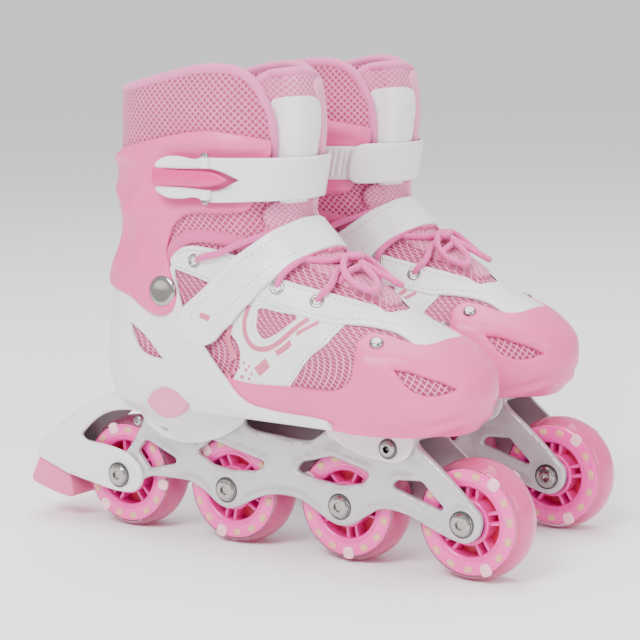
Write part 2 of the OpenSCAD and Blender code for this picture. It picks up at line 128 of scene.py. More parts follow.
def slice_outline(row):
    """Half the outline of one level slice, heel to toe, evenly spaced, and its length."""
    x_heel, x_toe, w_heel, w_ball, a_heel, a_toe = row
    q = np.linspace(0, np.pi / 2, 60)
    heel = np.stack([x_heel + a_heel * (1 - np.cos(q)), w_heel * np.sin(q)], 1)
    toe = np.stack([x_toe - a_toe * (1 - np.cos(q[::-1])), w_ball * np.sin(q[::-1])], 1)
    t = np.linspace(0, 1, 60)[1:-1, None]
    pts = np.concatenate([heel, heel[-1] * (1 - t) + toe[0] * t, toe])
    run = np.concatenate([[0], np.cumsum(np.hypot(*np.diff(pts, axis=0).T))])
    s = np.linspace(0, run[-1], FORM_STEPS)
    out = np.stack([np.interp(s, run, pts[:, 0]), np.interp(s, run, pts[:, 1])], 1)
    kernel = np.ones(21) / 21
    for c, odd in ((0, False), (1, True)):
        v = out[:, c]
        head, tail = v[1:11][::-1], v[-11:-1][::-1]
        if odd:
            head, tail = 2 * v[0] - head, 2 * v[-1] - tail
        out[:, c] = np.convolve(np.concatenate([head, v, tail]), kernel, "valid")
    return out, run[-1]


LEVELS = np.arange(FORM_LOW, FORM_HIGH + 0.5, 1.0)
_rows = np.stack([hermite(FORM[:, 0], FORM[:, k], LEVELS) for k in range(1, 7)], 1)
_slices = [slice_outline(r) for r in _rows]
WALL = np.array([s[0] for s in _slices])                   # [level, step, (x, y)]
GIRTH = np.array([s[1] for s in _slices])                  # half the girth at each level


def wall_normals():
    p = np.concatenate([WALL, np.broadcast_to(LEVELS[:, None, None], WALL.shape[:2] + (1,))], 2)
    along = np.gradient(p, axis=1)
    along[:, 0], along[:, -1] = [0, 1, 0], [0, -1, 0]
    n = np.cross(np.gradient(p, axis=0), along)
    return n / np.linalg.norm(n, axis=2, keepdims=True)


NORMALS = wall_normals()


def girth(z):
    return np.interp(z, LEVELS, GIRTH)


def bilinear(table, s, z):
    fi = np.clip(z - FORM_LOW, 0, len(LEVELS) - 1.001)
    fj = np.clip(s * (FORM_STEPS - 1), 0, FORM_STEPS - 1.001)
    i, j = fi.astype(int), fj.astype(int)
    a, b = (fi - i)[:, None], (fj - j)[:, None]
    return ((table[i, j] * (1 - a) + table[i + 1, j] * a) * (1 - b)
            + (table[i, j + 1] * (1 - a) + table[i + 1, j + 1] * a) * b)


def unit(v):
    return v / np.maximum(np.linalg.norm(v, axis=-1, keepdims=True), 1e-12)


class Boot:
    """The form unrolled. u is the distance round a level slice from the heel's or the
    toe's centre line, below 0 on the outer side, and v is the height."""

    def __init__(self, end):
        self.end = end

    def share(self, u, v):
        s = np.abs(u) / girth(v)
        return 1 - s if self.end == "toe" else s

    def place(self, u, v, off=0.0):
        """Points off above the form, and the form's normals there."""
        u, v = np.asarray(u, float), np.asarray(v, float)
        s = self.share(u, v)
        side = np.where(u > 0, 1.0, -1.0)
        xy, n = bilinear(WALL, s, v), unit(bilinear(NORMALS, s, v))
        p = np.stack([xy[:, 0], xy[:, 1] * side, v], 1)
        n = n * np.stack([np.ones_like(side), side, np.ones_like(side)], 1)
        return p + n * np.reshape(np.broadcast_to(off, u.shape), (-1, 1)), n

    def u_at(self, x, z, side=OUTER):
        """The u of the place on one side of the boot with that x at height z."""
        i = int(min(max(z - FORM_LOW, 0), len(LEVELS) - 2))
        a = z - FORM_LOW - i
        row = WALL[i, :, 0] * (1 - a) + WALL[i + 1, :, 0] * a
        s = np.interp(x, row, np.linspace(0, 1, FORM_STEPS))
        if self.end == "toe":
            s = 1 - s
        return side * s * girth(z)

    def line(self, points, side=OUTER):
        """(x, z[, corner]) points as (u, v[, corner])."""
        return [(self.u_at(p[0], p[1], side),) + tuple(p[1:]) for p in points]


HEEL, TOE = Boot("heel"), Boot("toe")


class Flat:
    """An upright plane at y, facing y's own side: u is x and v is z."""

    def __init__(self, y, facing):
        self.y, self.facing = y, facing

    def place(self, u, v, off=0.0):
        u, v = np.asarray(u, float), np.asarray(v, float)
        y = self.y + self.facing * np.broadcast_to(off, u.shape)
        n = np.zeros((len(u), 3))
        n[:, 1] = self.facing
        return np.stack([u, y, v], 1), n


class Level:
    """A level plane at height z, facing up: u is x and v is y."""

    def __init__(self, z):
        self.z = z

    def place(self, u, v, off=0.0):
        u, v = np.asarray(u, float), np.asarray(v, float)
        n = np.zeros((len(u), 3))
        n[:, 2] = 1
        return np.stack([u, v, self.z + np.broadcast_to(off, u.shape)], 1), n


# ---------------------------------------------------------------- lines and shapes
def spline(points, step, closed):
    """Points every step along a smooth curve through the given ones."""
    p = np.array(points, float)
    if len(p) == 2:
        n = max(1, int(round(np.linalg.norm(p[1] - p[0]) / step)))
        return p[0] + (p[1] - p[0]) * np.linspace(0, 1, n + 1)[:, None]
    if closed:
        p = np.concatenate([p[-2:], p, p[:3]])
    else:
        p = np.concatenate([[2 * p[0] - p[1]], p, [2 * p[-1] - p[-2]]])
    knots = np.concatenate([[0], np.cumsum(np.sqrt(np.linalg.norm(np.diff(p, axis=0), axis=1)))])
    out = []
    last = len(p) - (4 if closed else 3)
    for i in range(1, last + 1):
        k0, k1, k2, k3 = knots[i - 1:i + 3]
        t = np.linspace(k1, k2, 24, endpoint=False)[:, None]
        a1 = ((k1 - t) * p[i - 1] + (t - k0) * p[i]) / (k1 - k0)
        a2 = ((k2 - t) * p[i] + (t - k1) * p[i + 1]) / (k2 - k1)
        a3 = ((k3 - t) * p[i + 1] + (t - k2) * p[i + 2]) / (k3 - k2)
        b1 = ((k2 - t) * a1 + (t - k0) * a2) / (k2 - k0)
        b2 = ((k3 - t) * a2 + (t - k1) * a3) / (k3 - k1)
        out.append(((k2 - t) * b1 + (t - k1) * b2) / (k2 - k1))
    dense = np.concatenate(out)
    if closed:
        dense = dense[24:24 + 24 * (len(points))]
        dense = np.concatenate([dense, dense[:1]])
    else:
        dense = np.concatenate([dense, p[-2:-1]])
    return resample(dense, step, closed)


def resample(p, step, closed=False):
    run = np.concatenate([[0], np.cumsum(np.linalg.norm(np.diff(p, axis=0), axis=1))])
    n = max(2, int(round(run[-1] / step)))
    s = np.linspace(0, run[-1], n + 1)
    out = np.stack([np.interp(s, run, p[:, k]) for k in range(p.shape[1])], 1)
    return out[:-1] if closed else out


def outline(points, step=1.6, closed=True):
    """A smooth line through (a, b) points; a third value marks a corner."""
    p = [tuple(q[:2]) for q in points]
    corners = [i for i, q in enumerate(points) if len(q) > 2]
    if not corners:
        return spline(p, step, closed)
    if closed:
        p = p[corners[0]:] + p[:corners[0]] + [p[corners[0]]]
        marks = [c - corners[0] for c in corners] + [len(points)]
    else:
        marks = sorted({0, *corners, len(p) - 1})
    parts = [spline(p[a:b + 1], step, False) for a, b in zip(marks[:-1], marks[1:])]
    line = np.concatenate([q[:-1] for q in parts] + [parts[-1][-1:]])
    return line[:-1] if closed else line


def rounded(points, radius, step=1.0):
    """A closed outline of straight sides with rounded corners."""
    p = np.array(points, float)
    out = []
    for i in range(len(p)):
        a, b, c = p[i - 1], p[i], p[(i + 1) % len(p)]
        r = radius[i] if np.ndim(radius) else radius
        da, dc = unit(a - b), unit(c - b)
        half = math.acos(np.clip(np.dot(da, dc), -1, 1)) / 2
        cut = min(r / math.tan(half), 0.48 * np.linalg.norm(a - b), 0.48 * np.linalg.norm(c - b))
        r = cut * math.tan(half)
        mid = b + unit(da + dc) * (r / math.sin(half))
        s, e = b + da * cut - mid, b + dc * cut - mid
        n = max(2, int(round(r * (math.pi - 2 * half) / step)))
        for t in np.linspace(0, 1, n + 1):
            v = s * (1 - t) + e * t
            out.append(mid + v * (r / max(np.linalg.norm(v), 1e-9)))
    return resample(np.array(out + out[:1]), step, True)


def segment_distance(p, a, b, chunk=2000):
    """Each point's distance to the nearest of the segments a-b."""
    ab = b - a
    length2 = np.maximum((ab * ab).sum(1), 1e-12)
    out = np.empty(len(p))
    for i in range(0, len(p), chunk):
        q = p[i:i + chunk, None, :]
        t = np.clip(((q - a) * ab).sum(2) / length2, 0, 1)
        out[i:i + chunk] = np.sqrt(((q - a - ab * t[:, :, None])**2).sum(2).min(1))
    return out


def line_distance(p, line, closed=False):
    b = np.roll(line, -1, axis=0)
    return segment_distance(p, line, b) if closed else segment_distance(p, line[:-1], b[:-1])


def fold(p, line, height, width):
    """Height of a soft fold that runs along a line of (x, z) points."""
    return height * np.exp(-(line_distance(p, line) / width)**2)


def inside(p, loops):
    """Which points lie inside the loops, by the even-odd rule."""
    hit = np.zeros(len(p), bool)
    for loop in loops:
        a, b = loop, np.roll(loop, -1, axis=0)
        for i in range(0, len(p), 2000):
            x, y = p[i:i + 2000, 0, None], p[i:i + 2000, 1, None]
            cross = (a[:, 1] > y) != (b[:, 1] > y)
            dy = np.where(np.abs(b[:, 1] - a[:, 1]) < 1e-12, 1e-12, b[:, 1] - a[:, 1])
            at = a[:, 0] + (y - a[:, 1]) / dy * (b[:, 0] - a[:, 0])
            hit[i:i + 2000] ^= (cross & (x < at)).sum(1) % 2 == 1
    return hit


def smoothstep(x, low=0.0, high=1.0):
    t = np.clip((x - low) / (high - low), 0, 1)
    return t * t * (3 - 2 * t)


class Shape:
    """A mesh in mm on the skate's frame, with a UV for each vertex, also in mm."""

    def __init__(self, v=None, f=(), t=None):
        self.v = np.zeros((0, 3)) if v is None else np.asarray(v, float)
        self.f = list(f)
        self.t = np.zeros((len(self.v), 2)) if t is None else np.asarray(t, float)

    def __add__(self, other):
        n = len(self.v)
        return Shape(np.concatenate([self.v, other.v]),
                     self.f + [tuple(i + n for i in face) for face in other.f],
                     np.concatenate([self.t, other.t]))

    def moved(self, d):
        return Shape(self.v + np.array(d, float), self.f, self.t)

    def spun(self, angle):
        """The same shape turned about the line y of its own frame."""
        c, s = math.cos(angle), math.sin(angle)
        x, y, z = self.v.T
        return Shape(np.stack([x * c - z * s, y, x * s + z * c], 1), self.f, self.t)

    def mirrored(self):
        """The same shape on the other side of the skate's centre plane."""
        return Shape(self.v * [1, -1, 1], [face[::-1] for face in self.f], self.t)

    def both(self):
        return self + self.mirrored()


def joined(shapes):
    out = Shape()
    for s in shapes:
        out = out + s
    return out


def at(value, u, v, p):
    return value(u, v, p) if callable(value) else np.full(len(u), float(value))


def panel(rim, holes=(), on=HEEL, base=0.0, thick=2.0, edge=1.0, grid=3.0, relief=None,
          both=False):
    """A closed sheet on a surface, its rim and holes given in (u, v), with a rounded edge.
    base and thick are numbers or functions of (u, v, point), and relief is added on top."""
    loops = [np.asarray(rim, float)] + [np.asarray(h, float) for h in holes]
    points, edges = [], []
    for loop in loops:
        n = len(points)
        points += [tuple(q) for q in loop]
        edges += [(n + i, n + (i + 1) % len(loop)) for i in range(len(loop))]
    starts = np.concatenate(loops)
    ends = np.concatenate([np.roll(loop, -1, axis=0) for loop in loops])
    extra = []
    for angle in (22, 45, 68, 90):
        d = edge * (1 - math.cos(math.radians(angle)))
        for loop in loops:
            tangent = unit(np.roll(loop, -1, axis=0) - np.roll(loop, 1, axis=0))
            normal = np.stack([-tangent[:, 1], tangent[:, 0]], 1)
            for sign in (1, -1):
                q = loop + normal * d * sign
                good = inside(q, loops) & (segment_distance(q, starts, ends) > 0.9 * d)
                extra.append(q[good])
    low, high = starts.min(0), starts.max(0)
    rows = np.arange(low[1], high[1], grid * 0.87)
    cells = np.concatenate([[(x, y) for x in np.arange(low[0] + (k % 2) * grid / 2, high[0], grid)]
                            for k, y in enumerate(rows)])
    clear = segment_distance(cells, starts, ends) > edge + 0.5 * grid
    cells = cells[clear]
    extra.append(cells[inside(cells, loops)])
    points += [tuple(q) for q in np.concatenate(extra)]
    found = geometry.delaunay_2d_cdt([Vector(q) for q in points], edges, [], 0, 1e-5)
    uv = np.array([tuple(q) for q in found[0]])
    tris = np.array([tuple(f) for f in found[2]])
    keep = inside(uv[tris].mean(1), loops)
    tris = tris[keep]
    used, index = np.unique(tris, return_inverse=True)
    uv, tris = uv[used], index.reshape(-1, 3)
    u, v = uv[:, 0], uv[:, 1]
    flat, normal = on.place(u, v)
    a, b, c = flat[tris[:, 0]], flat[tris[:, 1]], flat[tris[:, 2]]
    facing = (np.cross(b - a, c - a) * normal[tris[:, 0]]).sum(1)
    tris[facing < 0] = tris[facing < 0][:, ::-1]
    directed = np.concatenate([tris[:, [0, 1]], tris[:, [1, 2]], tris[:, [2, 0]]])
    pairs = {tuple(e) for e in directed.tolist()}
    open_edges = [e for e in pairs if (e[1], e[0]) not in pairs]
    oe = np.array(open_edges)
    base_v, thick_v = at(base, u, v, flat), at(thick, u, v, flat)
    d = segment_distance(flat, flat[oe[:, 0]], flat[oe[:, 1]])
    r = np.minimum(edge, thick_v * (0.5 if both else 1.0))
    k = np.clip(1 - d / np.maximum(r, 1e-6), 0, 1)
    drop = r * (1 - np.sqrt(1 - k * k))
    top = base_v + thick_v - drop
    if relief is not None:
        top = top + relief(u, v, flat, d)
    bottom = base_v + (drop if both else 0)
    n = len(uv)
    verts = np.concatenate([on.place(u, v, top)[0], on.place(u, v, bottom)[0]])
    faces = [tuple(t) for t in tris.tolist()]
    faces += [(t[2] + n, t[1] + n, t[0] + n) for t in tris.tolist()]
    faces += [(e[1], e[0], e[0] + n, e[1] + n) for e in open_edges]
    return Shape(verts, faces, np.concatenate([uv, uv]))


def grid_shape(rows, wrap=False, caps=False):
    """A skin over rows of points; wrap joins each row's end to its start."""
    rows = np.asarray(rows, float)
    m, n = rows.shape[:2]
    across = n if wrap else n - 1
    faces = [(i * n + j, i * n + (j + 1) % n, (i + 1) * n + (j + 1) % n, (i + 1) * n + j)
             for i in range(m - 1) for j in range(across)]
    run_u = np.concatenate([[0], np.cumsum(np.linalg.norm(np.diff(rows.mean(1), axis=0), axis=1))])
    girths = np.linalg.norm(np.diff(rows, axis=1), axis=2).mean(0)
    run_v = np.concatenate([[0], np.cumsum(girths)])
    uv = np.stack(np.meshgrid(run_u, run_v, indexing="ij"), 2).reshape(-1, 2)
    if caps:
        faces += [tuple(range(n))[::-1], tuple((m - 1) * n + j for j in range(n))]
    return Shape(rows.reshape(-1, 3), faces, uv)


CAP_TURNS = (25, 50, 72, 88)                # degrees towards the tip of a tube's rounded end


def tube(path, radius, sides=10, closed=False, flat=None, up=None):
    """A round or flattened tube along a path, with rounded ends. flat is the height for
    the half width radius, and up says where that height points."""
    p = np.asarray(path, float)
    n = len(p)
    r = np.broadcast_to(np.asarray(radius, float), (n,)).copy()
    h = r if flat is None else np.broadcast_to(np.asarray(flat, float), (n,)).copy()
    if closed:
        tangent = unit(np.roll(p, -1, axis=0) - np.roll(p, 1, axis=0))
    else:
        tangent = unit(np.gradient(p, axis=0))

        def cap(i, sign, angle):
            """One ring of the rounded end at point i, angle radians towards its tip."""
            return (p[i] + sign * tangent[i] * h[i] * math.sin(angle), r[i] * math.cos(angle),
                    h[i] * math.cos(angle), tangent[i], i)

        turns = [math.radians(q) for q in CAP_TURNS]
        rows = ([cap(0, -1, q) for q in turns[::-1]] + [cap(i, 1, 0.0) for i in range(n)]
                + [cap(n - 1, 1, q) for q in turns])
        p, r, h, tangent = (np.array([q[k] for q in rows]) for k in range(4))
        index = [q[4] for q in rows]
        if up is not None and np.ndim(up) == 2:
            up = np.asarray(up)[index]
    if up is None:
        a = np.cross(tangent[0], [0, 0, 1.0])
        if np.linalg.norm(a) < 0.1:
            a = np.cross(tangent[0], [0, 1.0, 0])
        a = unit(a)
        across = [a]
        for t0, t1 in zip(tangent[:-1], tangent[1:]):
            axis = np.cross(t0, t1)
            s, c = np.linalg.norm(axis), np.dot(t0, t1)
            if s > 1e-9:
                axis = axis / s
                ang = math.atan2(s, c)
                a = (a * math.cos(ang) + np.cross(axis, a) * math.sin(ang)
                     + axis * np.dot(axis, a) * (1 - math.cos(ang)))
            across.append(a)
        across = unit(np.array(across) - tangent * (np.array(across) * tangent).sum(1)[:, None])
    else:
        across = unit(np.cross(tangent, np.broadcast_to(up, p.shape)))
    upward = np.cross(across, tangent)
    q = np.linspace(0, 2 * math.pi, sides, endpoint=False)
    rows = (p[:, None] + across[:, None] * (r[:, None] * np.cos(q))[..., None]
            + upward[:, None] * (h[:, None] * np.sin(q))[..., None])
    if closed:
        rows = np.concatenate([rows, rows[:1]])
        s = grid_shape(rows, wrap=True)
        m = len(p)
        s.f = [tuple(i % (m * sides) for i in face) for face in s.f]
        s.v, s.t = s.v[:m * sides], s.t[:m * sides]
        return outward(s)
    return outward(grid_shape(rows, wrap=True, caps=True))


def outward(s):
    """The same shape, with its faces turned to point out."""
    v = s.v - s.v.mean(0)
    volume = 0.0
    for face in s.f:
        for i in range(1, len(face) - 1):
            volume += np.dot(v[face[0]], np.cross(v[face[i]], v[face[i + 1]]))
    return s if volume >= 0 else Shape(s.v, [face[::-1] for face in s.f], s.t)


def lathe(profile, at_point, segments=96):
    """A ring turned about a line along y. profile is a closed line of (radius, y)."""
    q = np.linspace(0, 2 * math.pi, segments, endpoint=False)
    prof = np.asarray(profile, float)
    rows = []
    for ang in q:
        rows.append(np.stack([prof[:, 0] * math.cos(ang), prof[:, 1], prof[:, 0] * math.sin(ang)], 1))
    m, n = segments, len(prof)
    v = np.array(rows).reshape(-1, 3) + np.array(at_point, float)
    faces = [(i * n + j, i * n + (j + 1) % n, ((i + 1) % m) * n + (j + 1) % n, ((i + 1) % m) * n + j)
             for i in range(m) for j in range(n)]
    run = np.concatenate([[0], np.cumsum(np.linalg.norm(np.diff(prof, axis=0), axis=1))])
    uv = np.stack(np.meshgrid(q * prof[:, 0].mean(), run, indexing="ij"), 2).reshape(-1, 2)
    return outward(Shape(v, faces, uv))


def turned_solid(profile, at_point, axis=(0, -1, 0), segments=48, socket=None):
    """A solid of revolution. profile runs from the axis at its tip to the axis at its
    base, as (radius, height along axis). socket cuts a six-sided hole (radius, depth)."""
    q = np.linspace(0, 2 * math.pi, segments, endpoint=False)
    prof = [tuple(x) for x in profile]
    rows = []
    if socket:
        hex_r, depth = socket
        k = np.cos(np.pi / 6) / np.cos((q % (np.pi / 3)) - np.pi / 6)
        tip = prof[0][1]
        rows += [(np.full(segments, 0.01), tip - depth - 0.4), (hex_r * 0.5 * np.ones(segments), tip - depth),
                 (hex_r * k, tip - depth), (hex_r * k, tip - 0.15), (hex_r * k * 1.06, tip)]
        prof = [x for x in prof if x[0] > hex_r * 1.15]
    rows += [(np.full(segments, max(r, 0.01)), h) for r, h in prof]
    axis = unit(np.array(axis, float))
    a = unit(np.cross(axis, [0.3, 0.1, 1.0]))
    b = np.cross(axis, a)
    grid = np.array([axis * h + a * (r * np.cos(q))[:, None] + b * (r * np.sin(q))[:, None]
                     for r, h in rows]) + np.array(at_point, float)
    return outward(grid_shape(grid, wrap=True, caps=True))


def stitches(path, normals, length=2.3, gap=1.3, radius=0.38):
    """A row of short raised stitches along a path."""
    step = length + gap
    run = np.concatenate([[0], np.cumsum(np.linalg.norm(np.diff(path, axis=0), axis=1))])
    out = Shape()
    for k in range(int(run[-1] / step)):
        s = np.linspace(k * step, k * step + length, 4)
        q = np.stack([np.interp(s, run, path[:, c]) for c in range(3)], 1)
        n = unit(np.stack([np.interp(s, run, normals[:, c]) for c in range(3)], 1))
        q = q + n * np.array([-0.2, 0.18, 0.18, -0.2])[:, None]
        out = out + tube(q, radius, sides=6)
    return out


# ---------------------------------------------------------------- making the objects
materials = {}


def put(name, shape, body, slot, node=None, sides=SIDES, finish=None, angle=40, blend=None):
    """Makes the piece for each skate, riding on its body, with its slot's material.
    blend is (other body, start point, end point) for fabric that crosses a joint: such a piece is
    left in place on no body instead, and the tuple's values are not used."""
    for side in sides:
        v, faces = world(side, shape.v), shape.f
        if MIRROR[side] < 0:
            faces = [face[::-1] for face in faces]
        mesh = bpy.data.meshes.new(f"{side}_{name}")
        mesh.from_pydata(v.tolist(), [], faces)
        mesh.validate()
        layer = mesh.uv_layers.new(name="UVMap")
        index = np.empty(len(mesh.loops), int)
        mesh.loops.foreach_get("vertex_index", index)
        layer.data.foreach_set("uv", (shape.t[index] * 0.1).astype(np.float32).ravel())
        mesh.polygons.foreach_set("use_smooth", np.ones(len(mesh.polygons), bool))
        mesh.set_sharp_from_angle(angle=math.radians(angle))
        mesh.update()
        obj = bpy.data.objects.new(f"{side}_{name}", mesh)
        bpy.context.scene.collection.objects.link(obj)
        mesh.materials.append(materials[finish or slot])
        if node:
            for n in ([node] if isinstance(node, str) else node):
                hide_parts(f"{side}_{n}")
        if blend:
            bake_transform(obj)
        else:
            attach(obj, f"{side}_{body}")


# ---------------------------------------------------------------- materials
def shader(name, colour, roughness, **sockets):
    """A new material and its Principled shader, with the values that are even all over."""
    m = bpy.data.materials.new(name)
    m.use_nodes = True
    bsdf = m.node_tree.nodes["Principled BSDF"]
    bsdf.inputs["Base Color"].default_value = (*colour, 1)
    bsdf.inputs["Roughness"].default_value = roughness
    for key, value in sockets.items():
        bsdf.inputs[key.replace("_", " ")].default_value = value
    materials[name] = m
    return m.node_tree, bsdf


def node(tree, kind, **values):
    n = tree.nodes.new(kind)
    for key, value in values.items():
        if key in n.inputs:
            n.inputs[key].default_value = value
        else:
            setattr(n, key, value)
    return n


def noise(tree, scale, detail=2.0, uv=False):
    coord = tree.nodes.new("ShaderNodeTexCoord")
    n = node(tree, "ShaderNodeTexNoise", Scale=scale, Detail=detail)
    tree.links.new(coord.outputs["UV" if uv else "Object"], n.inputs["Vector"])
    return n.outputs["Fac"]


def math_node(tree, operation, a, b=None, clamp=False):
    n = tree.nodes.new("ShaderNodeMath")
    n.operation, n.use_clamp = operation, clamp
    for socket, value in zip(n.inputs, (a, b)):
        if isinstance(value, (int, float)):
            socket.default_value = value
        elif value is not None:
            tree.links.new(value, socket)
    return n.outputs[0]


def span(tree, value, low, high, to_low=0.0, to_high=1.0):
    n = node(tree, "ShaderNodeMapRange", interpolation_type="SMOOTHSTEP")
    tree.links.new(value, n.inputs["Value"])
    for key, x in (("From Min", low), ("From Max", high), ("To Min", to_low), ("To Max", to_high)):
        n.inputs[key].default_value = x
    return n.outputs["Result"]


def mix(tree, fac, a, b):
    n = node(tree, "ShaderNodeMix", data_type="RGBA")
    tree.links.new(fac, n.inputs["Factor"])
    for socket, value in ((n.inputs[6], a), (n.inputs[7], b)):
        if isinstance(value, tuple):
            socket.default_value = (*value, 1)
        else:
            tree.links.new(value, socket)
    return n.outputs[2]


def bump(tree, bsdf, heights):
    """Adds bumps; heights are (height, strength, distance in metres)."""
    last = None
    for height, strength, distance in heights:
        n = node(tree, "ShaderNodeBump", Strength=strength, Distance=distance)
        tree.links.new(height, n.inputs["Height"])
        if last:
            tree.links.new(last, n.inputs["Normal"])
        last = n.outputs["Normal"]
    tree.links.new(last, bsdf.inputs["Normal"])


def shade(colour, k):
    return tuple(min(1.0, c * k) for c in colour)


def moulded(name, colour, roughness=0.34, tone=0.95, grain=0.1, **sockets):
    """Moulded plastic: faint flow marks in the colour, and a fine even grain."""
    tree, bsdf = shader(name, colour, roughness, **sockets)
    flow = span(tree, noise(tree, 26, 3), 0.3, 0.72)
    tree.links.new(mix(tree, flow, shade(colour, tone), colour), bsdf.inputs["Base Color"])
    wear = span(tree, noise(tree, 70, 4), 0.35, 0.7, roughness * 0.86, roughness * 1.2)
    tree.links.new(wear, bsdf.inputs["Roughness"])
    bump(tree, bsdf, [(noise(tree, 1500, 2), grain, 0.00012), (noise(tree, 60, 2), 0.06, 0.0008)])


def leather(name, colour, roughness=0.33, **sockets):
    """Smooth synthetic leather: pebbled grain and soft creases."""
    tree, bsdf = shader(name, colour, roughness, **sockets)
    tone = span(tree, noise(tree, 34, 3), 0.3, 0.7)
    tree.links.new(mix(tree, tone, shade(colour, 0.95), colour), bsdf.inputs["Base Color"])
    coord = tree.nodes.new("ShaderNodeTexCoord")
    pebble = node(tree, "ShaderNodeTexVoronoi", Scale=1300.0)
    tree.links.new(coord.outputs["Object"], pebble.inputs["Vector"])
    bump(tree, bsdf, [(pebble.outputs["Distance"], 0.22, 0.00015), (noise(tree, 95, 3), 0.16, 0.0009)])


def netting(name, thread, hole, cell, depth=0.0006, turn=45.0, soft=(0.2, 0.62)):
    """Open sports mesh: light threads crossing over openings, cell mm apart; the openings take the darker hole
    colour, painted shade in the mesh's recesses.
    """
    tree, bsdf = shader(name, thread, 0.75, Sheen_Weight=0.25, Sheen_Roughness=0.4)
    coord = tree.nodes.new("ShaderNodeTexCoord")
    mapping = node(tree, "ShaderNodeMapping")
    mapping.inputs["Rotation"].default_value = (0, 0, math.radians(turn))
    mapping.inputs["Scale"].default_value = (10 / cell, 10 / cell, 1)
    tree.links.new(coord.outputs["UV"], mapping.inputs["Vector"])
    split = tree.nodes.new("ShaderNodeSeparateXYZ")
    tree.links.new(mapping.outputs["Vector"], split.inputs["Vector"])
    waves = [math_node(tree, "ABSOLUTE", math_node(tree, "SINE", math_node(
        tree, "MULTIPLY", split.outputs[k], math.pi))) for k in (0, 1)]
    gap = math_node(tree, "MINIMUM", *waves)
    open_part = span(tree, gap, *soft)
    twist = span(tree, noise(tree, 22, 2), 0.35, 0.7)
    thread_tone = mix(tree, twist, shade(thread, 0.9), thread)
    # The openings take the darker hole colour: painted shade inside the mesh's holes.
    tree.links.new(mix(tree, open_part, thread_tone, hole), bsdf.inputs["Base Color"])
    rise = math_node(tree, "SUBTRACT", 1.0, open_part)
    fibre = noise(tree, 420, 2)
    bump(tree, bsdf, [(rise, 0.8, depth), (fibre, 0.25, 0.0002)])


def woven(name, colour, count=1.0, roughness=0.8, stripe=None):
    """Close plain weave of fine yarn, or ribbed knit with stripe mm between its ribs."""
    tree, bsdf = shader(name, colour, roughness, Sheen_Weight=0.3, Sheen_Roughness=0.5)
    coord = tree.nodes.new("ShaderNodeTexCoord")
    split = tree.nodes.new("ShaderNodeSeparateXYZ")
    tree.links.new(coord.outputs["UV"], split.inputs["Vector"])
    pitch = stripe or count
    wave_v = math_node(tree, "SINE", math_node(tree, "MULTIPLY", split.outputs[1], 20 * math.pi / pitch))
    if stripe:
        rise = wave_v
    else:
        wave_u = math_node(tree, "SINE", math_node(tree, "MULTIPLY", split.outputs[0], 20 * math.pi / pitch))
        rise = math_node(tree, "MULTIPLY", wave_u, wave_v)
    # The colour darkens where the weave or rib sinks: painted shade in its grooves.
    tone = span(tree, rise, -1.0, 1.0)
    tree.links.new(mix(tree, tone, shade(colour, 0.78), colour), bsdf.inputs["Base Color"])
    bump(tree, bsdf, [(rise, 0.5, 0.0005 if stripe else 0.0002), (noise(tree, 700, 2), 0.2, 0.0002)])


def metal(name, colour, roughness, brushed=0.12):
    tree, bsdf = shader(name, colour, roughness, Metallic=1.0)
    scratch = noise(tree, 900, 4)
    tree.links.new(span(tree, scratch, 0.3, 0.7, roughness * 0.75, roughness * 1.35),
                   bsdf.inputs["Roughness"])
    tree.links.new(mix(tree, noise(tree, 55, 2), shade(colour, 0.92), colour), bsdf.inputs["Base Color"])
    bump(tree, bsdf, [(scratch, brushed, 0.00008)])


def coated(name, colour, roughness=0.3):
    """Silver lacquer on cast metal: fine metallic flake under a soft gloss."""
    tree, bsdf = shader(name, colour, roughness, Metallic=0.35, Coat_Weight=0.35, Coat_Roughness=0.22)
    coord = tree.nodes.new("ShaderNodeTexCoord")
    flake = node(tree, "ShaderNodeTexVoronoi", Scale=2600.0)
    tree.links.new(coord.outputs["Object"], flake.inputs["Vector"])
    spark = span(tree, flake.outputs["Distance"], 0.0, 0.8)
    tree.links.new(mix(tree, spark, colour, shade(colour, 0.9)), bsdf.inputs["Base Color"])
    bump(tree, bsdf, [(noise(tree, 1100, 3), 0.07, 0.0001), (noise(tree, 45, 2), 0.05, 0.0006)])


def urethane(name, colour):
    """Clear tinted wheel rubber, with faint haze and flow marks."""
    tree, bsdf = shader(name, colour, 0.1, Transmission_Weight=0.93, IOR=1.25, Coat_Weight=0.3)
    haze = span(tree, noise(tree, 40, 3), 0.35, 0.75, 0.05, 0.2)
    tree.links.new(haze, bsdf.inputs["Roughness"])
    tint = mix(tree, span(tree, noise(tree, 26, 2), 0.3, 0.7), colour, shade(colour, 0.95))
    tree.links.new(tint, bsdf.inputs["Base Color"])
    bump(tree, bsdf, [(noise(tree, 60, 3), 0.08, 0.001)])


PINK = (0.82, 0.105, 0.325)
moulded("white_shell", (0.80, 0.78, 0.79), 0.36)
moulded("pink_shell", PINK, 0.38, tone=0.94)
coated("silver_frame", (0.54, 0.515, 0.54))
# The polished steel's base colour is held dark, standing in for the dark surroundings it would reflect: painted
# reflection.
metal("bright_steel", (0.38, 0.36, 0.345), 0.14)
metal("bearing_steel", (0.10, 0.095, 0.095), 0.3)
woven("footbed_fabric", (0.74, 0.22, 0.34), 1.2)
leather("white_vinyl", (0.80, 0.79, 0.81))
leather("strap_vinyl", (0.82, 0.81, 0.83), 0.3)
woven("lace_cord", (0.86, 0.11, 0.40), 1.6, 0.7)
